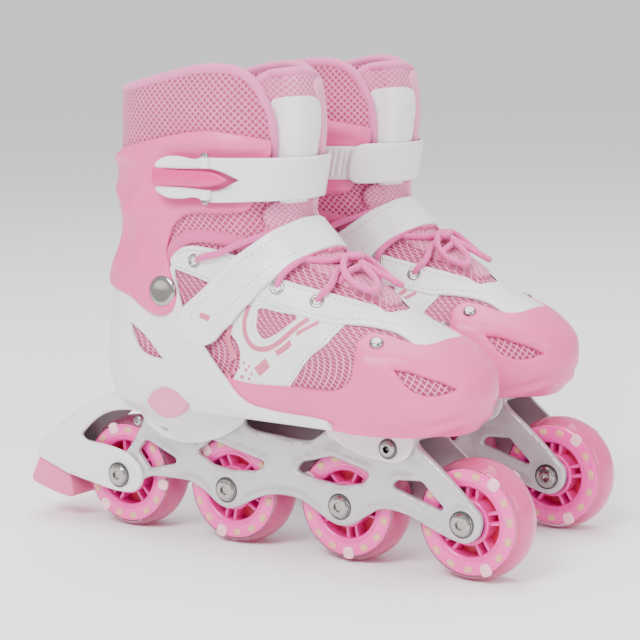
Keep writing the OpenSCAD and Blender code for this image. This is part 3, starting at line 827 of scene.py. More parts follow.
# The second colour of each mesh is painted shade for its openings.
netting("pink_mesh", (0.86, 0.26, 0.46), (0.36, 0.03, 0.12), 3.0)
netting("collar_mesh", (0.86, 0.23, 0.44), (0.42, 0.04, 0.15), 2.9)
moulded("pink_button", (0.80, 0.20, 0.40), 0.42)
netting("tongue_fabric", (0.90, 0.30, 0.52), (0.58, 0.12, 0.28), 2.6)
woven("tongue_rib", (0.92, 0.32, 0.55), stripe=2.2)
woven("trim_fabric", (0.88, 0.19, 0.46), 0.8)
woven("deep_trim", (0.80, 0.10, 0.33), 0.9)
moulded("white_strap", (0.82, 0.81, 0.84), 0.3)
moulded("hot_pink_plastic", (0.72, 0.035, 0.23), 0.3)
moulded("hub_pink", (0.86, 0.035, 0.36), 0.25, Coat_Weight=0.4)
# A darker pink for the hub's recessed web between the spokes: painted shade in the hub's hollows.
moulded("hub_deep", (0.55, 0.012, 0.07), 0.3)
moulded("core_pink", (0.90, 0.06, 0.38), 0.2, Coat_Weight=0.5)
moulded("lamp_insert", (0.72, 0.36, 0.24), 0.25)
moulded("lamp_clear", (0.94, 0.50, 0.58), 0.15)
urethane("wheel_urethane", (1.0, 0.62, 0.76))
moulded("brake_white", (0.80, 0.79, 0.80), 0.38)
moulded("brake_pad_pink", (0.80, 0.15, 0.33), 0.6, grain=0.3)
moulded("print_pink", (0.62, 0.14, 0.24), 0.45)
woven("stitch_pink", (0.74, 0.22, 0.34), 0.5)
woven("stitch_grey", (0.62, 0.60, 0.62), 0.5)


# ---------------------------------------------------------------- shells
def reflect(line):
    """The same (u, v) line on the other side of the boot, run backwards."""
    out = np.array(line)[::-1].copy()
    out[:, 0] *= -1
    return out


def level_run(u0, u1, v, step=1.8):
    n = max(2, int(abs(u1 - u0) / step))
    return np.stack([np.linspace(u0, u1, n + 1)[1:-1], np.full(n - 1, v)], 1)


WING = [(-58, 158), (-53, 147.5), (-46, 138), (-34.5, 126), (-21, 111), (-5.5, 97.5), (12, 94.5),
        (52, 92)]
SHELL_FOOT = 88.0
FOOT_HALF = 20.5                            # half width of the shell's foot on the frame
HEEL_VENT = [(-95, 137.5, 1), (-80, 128), (-67.5, 116, 1), (-83.5, 119), (-91.5, 128.5)]
BUTTON_AT, BUTTON_SIZE = np.array([-65.0, 90.0]), (32.0, 19.0)


def leaf_outline(grow=0.0, n=28):
    length, height = BUTTON_SIZE
    r = (length**2 + height**2) / (4 * height)
    lift = r - height / 2
    a = math.asin(length / 2 / r)
    arc = [((r + grow) * math.sin(t), (r + grow) * math.cos(t) - lift) for t in np.linspace(-a, a, n)]
    p = arc + [(x, -z) for x, z in arc[::-1][1:-1]]
    return np.array(p) + BUTTON_AT


def heel_base(x, z):
    """Height of the heel shell's inner face: close to the boot under the cuff, and out over
    the toe part."""
    forward = smoothstep(x, -70, -38)
    return 0.7 + 2.3 * forward + 1.1 * (1 - smoothstep(z, 100, 140)) * (1 - forward)


def heel_shell():
    edge = outline(HEEL.line([(-61, 172, 1)] + WING + [(54, 90), (54, SHELL_FOOT, 1)]), closed=False)
    top = level_run(-edge[0, 0], edge[0, 0], edge[0, 1])
    foot = level_run(edge[-1, 0], -edge[-1, 0], SHELL_FOOT)
    rim = np.concatenate([edge, foot, reflect(edge), top])
    vents = [outline(HEEL.line(HEEL_VENT, side), 1.2) for side in (OUTER, INNER)]
    leaf = leaf_outline(1.0)
    sweep = outline([(-100, 150), (-70, 118), (-40, 108), (-8, 98)], closed=False)
    sweep_low = outline([(-120, 112), (-88, 106), (-40, 98), (20, 90)], closed=False)

    def relief(u, v, p, d):
        q = p[:, [0, 2]]
        near = line_distance(q, leaf, True)
        well = np.where(inside(q, [leaf]), -1.1 * smoothstep(near, 0, 1.2),
                        0.5 * (1 - smoothstep(near, 0.5, 3.5)))
        well = np.where(p[:, 1] < 0, well, 0)
        folds = fold(q, sweep, 1.6, 5.5) + fold(q, sweep_low, 1.1, 4)
        return well + folds * smoothstep(d, 0, 5)
    return panel(rim, vents, on=HEEL, base=lambda u, v, p: heel_base(p[:, 0], v), thick=2.5,
                 edge=1.3, grid=2.6, relief=relief)


SKIRT_TOP = 92.0
SCALLOP_X = [-130, -106, -104, -98, -86, -72, -59, -42, -29, -25, 60]
SCALLOP_Z = [85, 84, 76, 69, 63, 61, 62.5, 68, 76, 84, 84.5]


def heel_skirt():
    """The shell's turned-in foot: from the boot's form down to the frame's ears."""
    s_end = HEEL.share(np.array([HEEL.u_at(54, SKIRT_TOP)]), np.array([SKIRT_TOP]))[0]
    rows = []
    for s in np.linspace(0, s_end, 110):
        u = [-s * girth(SKIRT_TOP)]
        flat, _ = HEEL.place(u, [SKIRT_TOP])
        p0, n0 = HEEL.place(u, [SKIRT_TOP], heel_base(flat[:, 0], SKIRT_TOP) + 2.4)
        p0, n0 = p0[0], n0[0]
        x = -118 + (p0[0] + 131) * (54 + 118) / (54 + 131)
        y = -FOOT_HALF * math.sqrt(max(0.0, 1 - (max(0.0, -104 - x) / 14)**2))
        p3 = np.array([x, y, np.interp(x, SCALLOP_X, SCALLOP_Z)])
        c1 = p0 + np.array([0, 0, -7.0]) - n0 * 0.3
        lift = min(14.0, max(2.5, (p0[2] - p3[2]) * 0.5))
        c2 = p3 + np.array([0, -1.2, lift])
        t = np.linspace(0, 1, 15)[:, None]
        line = (1 - t)**3 * p0 + 3 * t * (1 - t)**2 * c1 + 3 * t * t * (1 - t) * c2 + t**3 * p3
        inward = np.array([0.3, 1.0, 0]) if s > 0.08 else np.array([1.0, 0.3, 0])
        inner = line + unit(inward) * 2.2
        rows.append(np.concatenate([line, inner[::-1]]))
    rows[0][:, 1] = 0
    return outward(grid_shape(np.array(rows), wrap=True, caps=True))


def level_outline(z, inset, x0, x1, step=2.5):
    """The form's outline at height z, drawn in by inset, between two values of x."""
    s = np.linspace(0, 1, 160)
    p, n = HEEL.place(-s * girth(z), np.full(160, float(z)), -inset)
    q = p[:, :2]
    q = q[(q[:, 0] >= x0) & (q[:, 0] <= x1)]
    loop = np.concatenate([q, (q * [1, -1])[::-1]])
    keep = np.linalg.norm(loop - np.roll(loop, 1, axis=0), axis=1) > 0.2
    loop = loop[keep]
    return resample(np.concatenate([loop, loop[:1]]), step, True)


TOE_EDGE = [(-36, 112, 1), (-21, 110), (-6, 108), (26.5, 109), (55, 109.5), (63, 112), (68, 116.5),
            (69, 125.5), (67.5, 133), (67.5, 137), (71.5, 139.5), (78, 138.5), (84, 137), (90, 135),
            (96.5, 133.5)]
TOE_VENT = [(91.5, 122.5, 1), (99, 121.5), (106, 119), (114.5, 115.5), (119.5, 112, 1), (114.5, 109.5),
            (108, 109.5), (101.5, 112.5), (96.5, 117)]
TOE_RIVET = np.array([77.5, 134.0])
BUMPER_X = [30, 52, 95, 108, 119, 127, 133]
BUMPER_Z = [88, 89.5, 90.8, 93, 97, 101.5, 106]


def toe_edge():
    half = outline(TOE.line(TOE_EDGE) + [(-14, 133.6), (-7, 134.2), (0, 134.5)], closed=False)
    return np.concatenate([half, reflect(half)[1:]])


def toe_shell():
    top = toe_edge()
    foot = level_run(top[-1, 0], top[0, 0], SHELL_FOOT - 1)
    corner_in = np.array([[top[-1, 0], 100.0], [top[-1, 0], SHELL_FOOT - 1]])
    corner_out = np.array([[top[0, 0], SHELL_FOOT - 1], [top[0, 0], 100.0]])
    rim = np.concatenate([top, corner_in, foot, corner_out])
    vents = [outline(TOE.line(TOE_VENT, side), 1.0) for side in (OUTER, INNER)]
    wing = outline([(-61, 172)] + WING + [(60, 91)], closed=False)
    over = np.concatenate([wing, [(60, 60), (-150, 60), (-150, 172)]])
    crease = outline([(67, 128), (85, 127), (101, 122.5), (118, 115)], closed=False)

    def base(u, v, p):
        q = p[:, [0, 2]]
        w = line_distance(q, wing)
        return 0.2 + 0.8 * np.where(inside(q, [over]), 0, smoothstep(w, 0.3, 7))

    def relief(u, v, p, d):
        q = p[:, [0, 2]]
        g = v - np.interp(p[:, 0], BUMPER_X, BUMPER_Z)
        ahead = smoothstep(p[:, 0], 25, 60)
        lip = (1.1 * smoothstep(-g, 0.4, 2.2) - 1.0 * np.exp(-(g / 1.1)**2)
               - 0.8 * np.exp(-((g + 5.5) / 1.1)**2))
        r = np.linalg.norm(q - TOE_RIVET, axis=1)
        return ahead * lip + fold(q, crease, 1.6, 5.5) * smoothstep(d, 0, 4) - 0.5 * np.exp(-(r / 5.0)**4)
    return panel(rim, vents, on=TOE, base=base, thick=2.6, edge=1.4, grid=2.4, relief=relief)


CUFF_EDGE = [(-103.5, 239.5), (-76, 246), (-56.5, 250), (-33, 253), (-17, 251.5), (-6.5, 249), (-1.5, 247),
             (-1.5, 241), (-5.5, 227.5), (-10.5, 214), (-13.5, 208), (-19.5, 205.5), (-30.5, 205),
             (-42.5, 205), (-52, 202.5), (-59.5, 196.5), (-63.5, 188.5), (-65.5, 181), (-63.5, 172),
             (-59.5, 161), (-57.5, 153), (-60, 146), (-66, 142.5), (-72.5, 142.5), (-81, 146), (-91.5, 152),
             (-112, 156), (-118.5, 159)]
PIVOT = np.array([-67.0, 157.0])


def cuff():
    half = HEEL.line(CUFF_EDGE)
    top, foot = (0, 230.5), (0, 159)
    loop = outline([top] + half + [foot] + [(-u, v) for u, v in half[::-1]])
    cradle = outline([(-72, 212), (-76, 226), (-70, 238), (-40, 240.5), (10, 241), (10, 211), (-40, 210.5)])
    ridge = outline([(-126, 228), (-108, 237), (-80, 232), (-84, 214), (-98, 196), (-106, 170)], closed=False)
    brow = outline([(-114, 233), (-88, 241), (-50, 246), (-10, 245.5)], closed=False)
    lower = outline([(-128, 205), (-112, 214), (-92, 206), (-66, 206), (-20, 209)], closed=False)
    spine = outline([(-92, 204), (-84, 186), (-82, 168)], closed=False)

    def base(u, v, p):
        return 0.9 + 2.5 * (1 - smoothstep(v, 168, 192))

    def relief(u, v, p, d):
        q = p[:, [0, 2]]
        w = line_distance(q, cradle, True)
        hollow = -1.3 * np.where(inside(q, [cradle]), smoothstep(w, 0, 4.5), 0)
        hollow = hollow * np.where(p[:, 1] < 0, 1.0, 0.5)
        rise = (fold(q, ridge, 2.0, 4.0) + fold(q, brow, 1.5, 3.6) + fold(q, lower, 1.7, 4.4)
                + fold(q, spine, 1.5, 5))
        boss = np.linalg.norm(q - PIVOT, axis=1)
        seat = 0.8 * np.exp(-((boss - 11.5) / 2.2)**2) - 0.5 * smoothstep(-boss, -10, -9)
        return (hollow + rise) * smoothstep(d, 0, 4.5) + seat * smoothstep(d, 0, 2)
    return panel(loop, on=HEEL, base=base, thick=2.5, edge=1.5, grid=2.4, relief=relief)


put("heel_cup", heel_shell(), "chassis", "white_shell", node="heel_shell")
put("heel_skirt", heel_skirt().both(), "chassis", "white_shell", angle=50)
SOLE = [(-116, -14), (-104, -FOOT_HALF), (54, -FOOT_HALF), (54, FOOT_HALF), (-104, FOOT_HALF),
        (-116, 14)]
put("sole", panel(rounded(SOLE, 4, 2.5), on=Level(82.2), thick=2.6, edge=0.8, grid=8, both=True),
    "chassis", "white_shell")
put("toe_cap", toe_shell(), "toe", "pink_shell", node="toe_shell")
put("toe_sole", panel(level_outline(89, 2.5, -20, 200), on=Level(85.6), thick=2.2, edge=1.0, grid=7, both=True),
    "toe", "pink_shell")
put("cuff_shell", cuff(), "ankle_cuff", "pink_shell", node="cuff")

LUG = [(33, 84, 1), (33, 78), (40, 73.5), (52, 69), (66, 66), (79, 65.7), (87, 69), (91, 75.5), (92, 84, 1)]
put("toe_lugs", panel(outline(LUG, 1.2), on=Flat(-17.7, -1), thick=2.5, edge=0.9, grid=3).both()
    + panel(rounded([(30, -20), (92, -20), (92, 20), (30, 20)], 3, 2), on=Level(80.2), thick=5.2, edge=0.8,
            grid=8, both=True), "chassis", "white_shell")

BUTTON = panel(leaf_outline(-0.5), on=Flat(-41.6, -1), thick=3.4, edge=1.5, grid=1.6,
               relief=lambda u, v, p, d: 0.7 * smoothstep(d, 0, 8))
put("size_key", BUTTON, "size_release", "pink_button", node="size_button")


# ---------------------------------------------------------------- the sewn boot
def upper_rim(x_back, z_top, z_low):
    """Rim of a band of the upper that runs round the toe, from x_back on each side."""
    back = TOE.u_at(x_back, z_low), TOE.u_at(x_back, z_top)
    return np.concatenate([
        level_run(back[0], -back[0], z_low, 3),
        outline([(-back[0], z_low), (-back[1], z_top)], 3, closed=False),
        level_run(-back[1], back[1], z_top, 3),
        outline([(back[1], z_top), (back[0], z_low)], 3, closed=False)])


FLEX_START, FLEX_END = (34, 0, 120), (72, 0, 120)
LEAN_START, LEAN_END = (-20, 0, 188), (-20, 0, 226)
TOE_FLEX = ("toe", FLEX_START, FLEX_END)
LEAN_FLEX = ("ankle_cuff", LEAN_START, LEAN_END)
STAY_LOW = [(-63, 171), (-50, 167.5), (-34.5, 163), (-2.5, 155.5), (13, 151.5), (27, 148), (47.5, 144),
            (57, 144), (70.5, 142.5), (83.5, 139), (96.5, 133)]
STAY_TOP = [(-64, 176), (-57.5, 182.5), (-50, 185), (-39, 184.5), (-20.5, 181), (-7, 175.5), (5.5, 169),
            (17, 165.5), (35, 161), (48.5, 157.5), (57.5, 155), (64.5, 152.5), (69, 149.5)]
PRINT_EDGE = [(55.5, 150, 1), (54.5, 145), (50.5, 136.5), (39.5, 126.5), (31.5, 116.5), (25.5, 108),
              (21, 99.5, 1)]
TEARDROP = [(0.5, 151), (12.5, 149.5), (25, 148), (20, 141.5), (12.5, 136.5), (5.5, 134.5), (0.5, 139),
            (-0.5, 145.5)]


def stay():
    """The white eyelet facing: along each side of the throat and across its toe end."""
    low = outline(TOE.line(STAY_LOW) + [(-16, 129.5), (-7, 128.5), (0, 128.5)], closed=False)
    top = outline(TOE.line(STAY_TOP) + [(-5.5, 149.4), (0, 149)], closed=False)
    outer = np.concatenate([low, reflect(low)[1:]])
    inner = np.concatenate([top, reflect(top)[1:]])
    back_out = outline([tuple(top[0]), tuple(low[0])], closed=False)[1:-1]
    back_in = reflect(back_out)
    return np.concatenate([outer, back_in, inner[::-1], back_out])


EYELETS = [(-46.5, 176), (9.5, 162.5), (34.5, 155.5)]


def seam(points, side, off):
    line = outline(TOE.line(points, side), 1.0, closed=False)
    return TOE.place(line[:, 0], line[:, 1], off)


def print_panel(side):
    rim = outline(TOE.line([(-30, 168, 1), (-24, 140), (-30, 98, 1), (21, 98, 1)]
                           + PRINT_EDGE[::-1][1:] + [(30, 158), (-2, 163)], side), 1.6)
    hole = outline(TOE.line(TEARDROP, side), 1.2)
    return panel(rim, [hole], on=TOE, base=0.7, thick=1.0, edge=0.6, grid=3)


PRINT_OFF = 1.6                             # height of the printed marks above the form


def decal(points, side):
    return panel(outline(TOE.line(points, side), 1.0), on=TOE, base=PRINT_OFF, thick=0.35,
                 edge=0.2, grid=2)


def band_points(line, width):
    """Outline of a band of even width along a line of (x, z) points."""
    q = outline(line, 1.5, closed=False)
    t = unit(np.gradient(q, axis=0))
    n = np.stack([-t[:, 1], t[:, 0]], 1) * width / 2
    return [tuple(x) for x in np.concatenate([q + n, (q - n)[::-1]])]


def corners(points):
    return [(*p, 1) for p in points]


# x, z and radius of the printed dots
DOTS = ((-20, 110.5, 2.6), (-15, 106.5, 2.2), (-15, 113.5, 1.6), (-9, 111, 1.3), (-11, 116.5, 1.0),
        (-6, 115.5, 1.1), (-4, 110.5, 1.0), (-7.5, 119.5, 0.9), (-3.5, 118, 0.9), (-2, 113.6, 0.9),
        (-9, 105, 1.8), (-3, 105.5, 1.2), (-18.5, 117.5, 0.9))


def prints(side):
    u_line = [(-7, 152), (-8.5, 143), (-6, 134.5), (-0.5, 129.3), (7, 128.6), (15, 131.5),
              (24, 138.5), (33, 146.5)]
    band = band_points(u_line, 3.0)
    shapes = [decal(corners(band[:3]) + band[3:], side)]
    for a, b, w in (((29, 138.5), (40, 145), 2.2), ((16, 127), (26, 134), 3.4),
                    ((2, 115), (10, 121.5), 6.0)):
        a, b = np.array(a, float), np.array(b, float)
        t = unit(b - a)
        n = np.array([-t[1], t[0]]) * w / 2
        shapes.append(decal(corners([a + n, b + n, b - n, a - n]), side))
    shapes.append(decal([(-19.5, 140, 1), (-16, 140, 1), (-16.5, 130), (-12, 122, 1),
                         (-17, 119.5, 1), (-20.5, 130)], side))
    for x, z, r in DOTS:
        ring = [(x + r * math.cos(t), z + r * math.sin(t))
                for t in np.linspace(0, 2 * math.pi, 14)[:-1]]
        shapes.append(panel(np.array(TOE.line(ring, side)), on=TOE, base=PRINT_OFF, thick=0.35,
                            edge=0.2, grid=1.2))
    return joined(shapes)


put("upper_mesh", panel(upper_rim(-120, 184, 92), on=TOE, base=-1.2, thick=1.7, edge=0.5, grid=4),
    "chassis", "pink_mesh", node=("quarter", "toe_liner"), blend=TOE_FLEX)
put("facing", panel(stay(), on=TOE, base=1.2, thick=1.7, edge=1.0, grid=2.6),
    "chassis", "white_vinyl", blend=TOE_FLEX)
put("side_panels", print_panel(OUTER) + print_panel(INNER), "chassis", "white_vinyl", blend=TOE_FLEX)
put("prints", prints(OUTER) + prints(INNER), "chassis", "white_vinyl", finish="print_pink", blend=TOE_FLEX)


def facing_stitches():
    out = Shape()
    for side in (OUTER, INNER):
        low = [(x, z + 2.3) for x, z in STAY_LOW[:-1]]
        top = [(x, z - 2.3) for x, z in STAY_TOP[1:-1]]
        edge = [(x - 2.4, z) for x, z, *_ in PRINT_EDGE[1:-1]]
        for points, off in ((low, 2.9), (top, 2.9), (edge, 1.7)):
            out = out + stitches(*seam(points, side, off), length=1.7, gap=1.5, radius=0.3)
        wider = [(13 + (x - 13) * 1.16, 144 + (z - 144) * 1.28) for x, z in TEARDROP[::-1]]
        ring = outline(TOE.line(wider, side), 1.0)
        p, n = TOE.place(ring[:, 0], ring[:, 1], 1.7)
        out = out + stitches(p, n, length=1.5, gap=1.5, radius=0.25)
    return out


put("facing_seams", facing_stitches(), "chassis", "white_vinyl", finish="stitch_grey", blend=TOE_FLEX)

COLLAR_TOP = [(-109.5, 275), (-98, 276.5), (-74.5, 281), (-56, 285), (-43, 287.5), (-30.5, 288.5),
              (-18.5, 287.5), (-12, 284.5), (-6.5, 278.5), (-3.5, 272), (-0.5, 263.5), (0.5, 254.5)]
COLLAR_FRONT = [(0.5, 245.5), (-0.5, 235.5), (-2.5, 224), (-5, 206.5), (-4.5, 194.5), (-6, 183)]
COLLAR_FOOT = [(-20, 180), (-50, 176), (-90, 170)]
COLLAR_PAD = 7.0


def collar_rim():
    half = HEEL.line(COLLAR_TOP + COLLAR_FRONT + [(-6, 181)] + COLLAR_FOOT)
    return outline([(0, 274)] + half + [(0, 168)] + [(-u, v) for u, v in half[::-1]], 2.0)


def collar():
    def relief(u, v, p, d):
        ripple = 0.5 * np.sin(v * 0.13 + p[:, 0] * 0.03)
        return 1.2 * smoothstep(d, 2, 16) + ripple * smoothstep(d, 6, 20)
    return panel(collar_rim(), on=HEEL, base=-COLLAR_PAD - 0.6, thick=COLLAR_PAD, edge=3.2, grid=3.4,
                 relief=relief, both=True)


def collar_piping():
    half = HEEL.line(COLLAR_TOP + COLLAR_FRONT)
    line = outline([(-u, v) for u, v in half[::-1]] + [(0, 274)] + half, 2.2, closed=False)
    p, n = HEEL.place(line[:, 0], line[:, 1], -3.6)
    return tube(p, 3.3, sides=12, flat=4.0, up=n)


put("collar_pad", collar(), "chassis", "pink_mesh", node="collar", finish="collar_mesh", blend=LEAN_FLEX)
put("collar_binding", collar_piping(), "chassis", "pink_mesh", finish="trim_fabric", blend=LEAN_FLEX)


def ankle_roll():
    """The padded roll of fabric between the collar and the white facing."""
    half = HEEL.line([(-75, 172), (-66, 177), (-60, 184.5), (-50, 190), (-35, 190.5), (-18, 187.5),
                      (-2, 181.5), (12, 175)])
    out = Shape()
    for k in (1, -1):
        line = outline([(u * k, v) for u, v in half], 2.0, closed=False)
        p, n = HEEL.place(line[:, 0], line[:, 1], 0.2)
        out = out + tube(p, 4.0, sides=14, flat=2.6, up=n)
    return out


put("ankle_roll", ankle_roll(), "chassis", "pink_mesh", finish="deep_trim")


def tongue_base(shift):
    def base(u, v, p):
        w = np.abs(u - shift)
        lean = 3.0 * smoothstep(v, 235, 285)
        e = u * np.sign(shift)
        drop = smoothstep(e, 14, 25) + smoothstep(-e, 20, 29)
        return 1.5 - 10.5 * drop - lean * 0.3 + 0.8 * np.cos(np.clip(w / 20, 0, 1) * math.pi / 2)
    return base


def tongue_parts(toward):
    """The padded tongue, set a little towards one side, its white panel and ribbed rolls."""
    shift = 11.0 * toward

    def mirrored_line(half):
        """(distance from the tongue's middle, height[, corner]) points, then their mirror images."""
        return ([(shift - w, *rest) for w, *rest in half]
                + [(shift + w, *rest) for w, *rest in half[::-1]])

    rim = outline(mirrored_line([(31, 196), (34, 230), (33, 262), (24, 281), (8, 286.5)]), 2.2)
    base = tongue_base(shift)

    def relief(u, v, p, d):
        return 0.8 * smoothstep(d, 1, 12)

    body = panel(rim, on=TOE, base=lambda u, v, p: base(u, v, p) - 4.5, thick=6.0, edge=2.6, grid=3,
                 relief=relief, both=True)
    rim = outline(mirrored_line([(11.5, 211, 1), (14.5, 236), (17, 263), (13, 270.5)]), 1.8)
    white = panel(rim, on=TOE, base=lambda u, v, p: base(u, v, p) + 2.0, thick=1.3, edge=0.9, grid=3)

    def on_tongue(points, step, off):
        line = outline(points, step, closed=False)
        u, v = line[:, 0], line[:, 1]
        return TOE.place(u, v, base(u, v, None) + off)

    p, n = on_tongue([(shift - toward * w, z) for w, z in ((24, 200), (24.5, 240), (23, 262), (16.5, 276),
                                                           (15, 279))], 1.2, 0.4)
    ribs = 3.6 + 0.35 * np.sin(np.arange(len(p)) * 1.2 * 2 * math.pi / 2.6)
    rolls = tube(p, 6.2, sides=16, flat=ribs, up=n)
    p, n = on_tongue(mirrored_line([(33, 256), (30, 272), (20, 282.5), (8, 286)]), 2.0, -1.4)
    return body, white, rolls, tube(p, 2.8, sides=12, flat=3.4, up=n)


for side, toward in (("right", OUTER), ("left", INNER)):
    body, white, rolls, binding = tongue_parts(toward)
    options = dict(sides=(side,), blend=LEAN_FLEX)
    put("tongue_pad", body, "chassis", "tongue_fabric", node="tongue", **options)
    put("tongue_panel", white, "chassis", "tongue_fabric", finish="white_vinyl", **options)
    put("tongue_rolls", rolls, "chassis", "tongue_fabric", finish="tongue_rib", **options)
    put("tongue_binding", binding, "chassis", "tongue_fabric", finish="trim_fabric", **options)

# The vamp under the laces
VAMP = [(-9, 154), (-15, 160), (-20, 170), (-24, 182), (-27, 198), (-24, 210)]
put("vamp_pad", panel(outline([(0, 152.5)] + VAMP + [(0, 214)] + [(-u, v) for u, v in VAMP[::-1]], 2.0),
                      on=TOE, base=-2.0, thick=5.2, edge=2.4, grid=2.8, both=True,
                      relief=lambda u, v, p, d: 0.8 * smoothstep(d, 1, 9)),
    "chassis", "pink_mesh", finish="tongue_fabric", blend=TOE_FLEX)


def form_point(on, x, z, side, off):
    p, n = on.place([on.u_at(x, z, side)], [z], off)
    return p[0], n[0]


def circle(place, normal, r, count):
    """Points on a circle about a place, square to the normal."""
    a = unit(np.cross(normal, [0, 0, 1.0]))
    b = np.cross(normal, a)
    q = np.linspace(0, 2 * math.pi, count, endpoint=False)[:, None]
    return place + r * (a * np.cos(q) + b * np.sin(q))


def eyelet_rings():
    out = Shape()
    for x, z in EYELETS:
        for side in (OUTER, INNER):
            p, n = form_point(TOE, x, z, side, 2.9)
            ring = circle(p, n, 3.3, 28)
            out = out + tube(ring, 1.1, sides=10, closed=True, flat=0.8, up=np.broadcast_to(n, ring.shape))
    return out


put("eyelet_rings", eyelet_rings(), "chassis", "bright_steel", node="eyelets", blend=TOE_FLEX)


def upper_at(u, z, off):
    return TOE.place([u], [z], off)[0][0]


def on_upper(x, z, side, off):
    return upper_at(TOE.u_at(x, z, side), z, off)


def cord(points, radius=2.0, step=1.5):
    return tube(spline(points, step, False), radius, sides=10)


def laces():
    """Three runs a side from the eyelets, one across the throat's toe end, and the bow."""
    out = Shape()
    for k in (OUTER, INNER):
        for sewn, free in (
                (((-46, 176, 1.0), (-41, 178.5, 5.0), (-28, 182, 5.0), (-17, 187, 4.4), (-8, 190, 3.4),
                  (-1, 194, 2.6)), ()),
                (((9, 163, 1.0), (10, 166.5, 4.4), (12, 171, 4.6)),
                 ((22, 177, 4.6), (10, 181, 4.6), (-4, 180, 4.6))),
                (((34, 155.7, 1.0), (36, 158.2, 4.6), (38, 161.5, 5.2)),
                 ((15, 168, 5.2), (2, 171.5, 7.0 + k), (-12, 174, 5.4), (-20, 176, 4.4)))):
            out = out + cord([on_upper(x, z, k, off) for x, z, off in sewn]
                             + [upper_at(k * u, z, off) for u, z, off in free])
    out = out + cord([upper_at(*p) for p in ((-17, 165, 2.8), (-14, 166, 5.5), (-4, 167.5, 7.6),
                                             (6, 166.5, 7.2), (14, 164.5, 5.2), (17, 163.5, 2.6))])
    for k in (-1, 1):
        out = out + cord([upper_at(k * u, z, off) for u, z, off in (
            (0, 172.5, 8.5), (7, 171, 10.5), (15, 166, 9.5), (18, 160, 8.0), (13, 156.5, 8.0),
            (6, 160, 8.5), (1, 168, 9.5))], 1.9, 1.3)
    knot = ((-5, 174, 6.5), (-2, 171, 10.6), (3, 170, 10.6), (5, 173, 6.5))
    return out + cord([upper_at(*p) for p in knot], 2.4, 1.0)


put("lacing", laces(), "chassis", "lace_cord", node="laces", blend=TOE_FLEX)

# ---------------------------------------------------------------- straps and buckle
STRAP_UP = [(-53, 146.5), (-42, 157), (-33.5, 165), (-25.5, 173.5), (-17.5, 181), (-8, 188), (-1.5, 193.5),
            (2.5, 196.5)]
STRAP_LOW = [(-15.5, 142), (-9, 150), (-2, 158), (5, 165), (11, 171), (16, 176.5), (19.5, 179)]
STRAP_TIP = [(-55.5, 142), (-53.5, 135.5), (-48, 129), (-40, 126.5), (-32.5, 128), (-23, 135)]


def power_strap_outline():
    up = TOE.line(STRAP_UP) + [(-7, 198)]
    low = TOE.line(STRAP_LOW) + [(-5, 180.4)]
    near = TOE.line(STRAP_TIP)[::-1] + up
    far = [(-u, v) for u, v in up[::-1]]
    end = [(-u, v) for u, v in TOE.line([(-54, 139), (-46, 121), (-28, 121), (-19, 134)])]
    back = [(-u, v) for u, v in low] + low[::-1]
    return outline(near + far + end + back, 2.0)


def strap_base(u, v, p):
    across = smoothstep(u, 40, 75)
    return 3.3 + 1.6 * (1 - smoothstep(np.abs(u), 10, 45)) - 1.2 * across


put("instep_strap", panel(power_strap_outline(), on=TOE, base=strap_base, thick=2.5, edge=1.2, grid=3,
                          relief=lambda u, v, p, d: -0.35 * np.exp(-((d - 3.4) / 0.9)**2)),
    "chassis", "strap_vinyl", node="power_strap")


def offset_line(points, amount, side):
    q = outline(TOE.line(points, side), 1.0, closed=False)
    t = unit(np.gradient(q, axis=0))
    n = np.stack([-t[:, 1], t[:, 0]], 1)
    return q + n * amount


def strap_seams():
    out = Shape()
    for side in (OUTER, INNER):
        for points, sign in ((STRAP_UP, -1), (STRAP_LOW, 1)):
            q = offset_line(points, -side * sign * 3.4, side)
            p, n = TOE.place(q[:, 0], q[:, 1], 0.0)
            p, n = TOE.place(q[:, 0], q[:, 1], strap_base(q[:, 0], q[:, 1], p) + 2.2)
            out = out + stitches(p, n, length=2.0, gap=1.2, radius=0.32)
    return out


put("strap_seams", strap_seams(), "chassis", "strap_vinyl", finish="stitch_pink")
dash = outline(TOE.line(corners([(-37.5, 146), (-30.5, 144), (-31.5, 141), (-38.5, 143)])), 0.8)
put("strap_mark", panel(dash, on=TOE, base=5.7, thick=0.4, edge=0.2, grid=1.5), "chassis",
    "strap_vinyl", finish="print_pink")

LEVER_Z = (213.5, 238.5)
TAB_Z = (221.0, 230.5)
LEVER_PIN = (-28.0, -52.4)


def catch_base(u, v, p):
    x = p[:, 0]
    return 6.2 + np.where(u < 0, 1.6 * smoothstep(-x, 12, 28), 0)


def guide_strap():
    z0, z1 = LEVER_Z
    vee = [(-26, 220.4), (-20.5, 223), (-16, 226, 1), (-20.5, 229), (-26, 231.6)]
    left = TOE.line([(-31, z0, 1), (-31, 219.6, 1)] + vee + [(-31, 232.4, 1), (-31, z1, 1)])
    top = TOE.line([(-20, z1), (-10, z1)]) + [(-14, z1), (0, z1), (14, z1), (28, z1), (34, z1 - 0.7),
                                              (37.5, z1 - 4)]
    low = [(37.5, z0 + 4), (34, z0 + 0.7), (28, z0), (14, z0), (0, z0), (-14, z0)]
    low += TOE.line([(-10, z0), (-20, z0)])
    notch = outline(TOE.line([(-31, 219.6)] + vee + [(-31, 232.4)]), 1.0, closed=False)

    def relief(u, v, p, d):
        w = line_distance(np.stack([u, v], 1), notch)
        lines = 0.35 * sum(np.exp(-((u - at_u) / 0.8)**2) for at_u in (4, 8, 12))
        return 1.1 * np.exp(-((w - 1.5) / 1.2)**2) - lines
    return panel(outline(left + top + low, 1.4), on=TOE, base=catch_base, thick=2.3, edge=1.1,
                 grid=2.2, relief=relief)


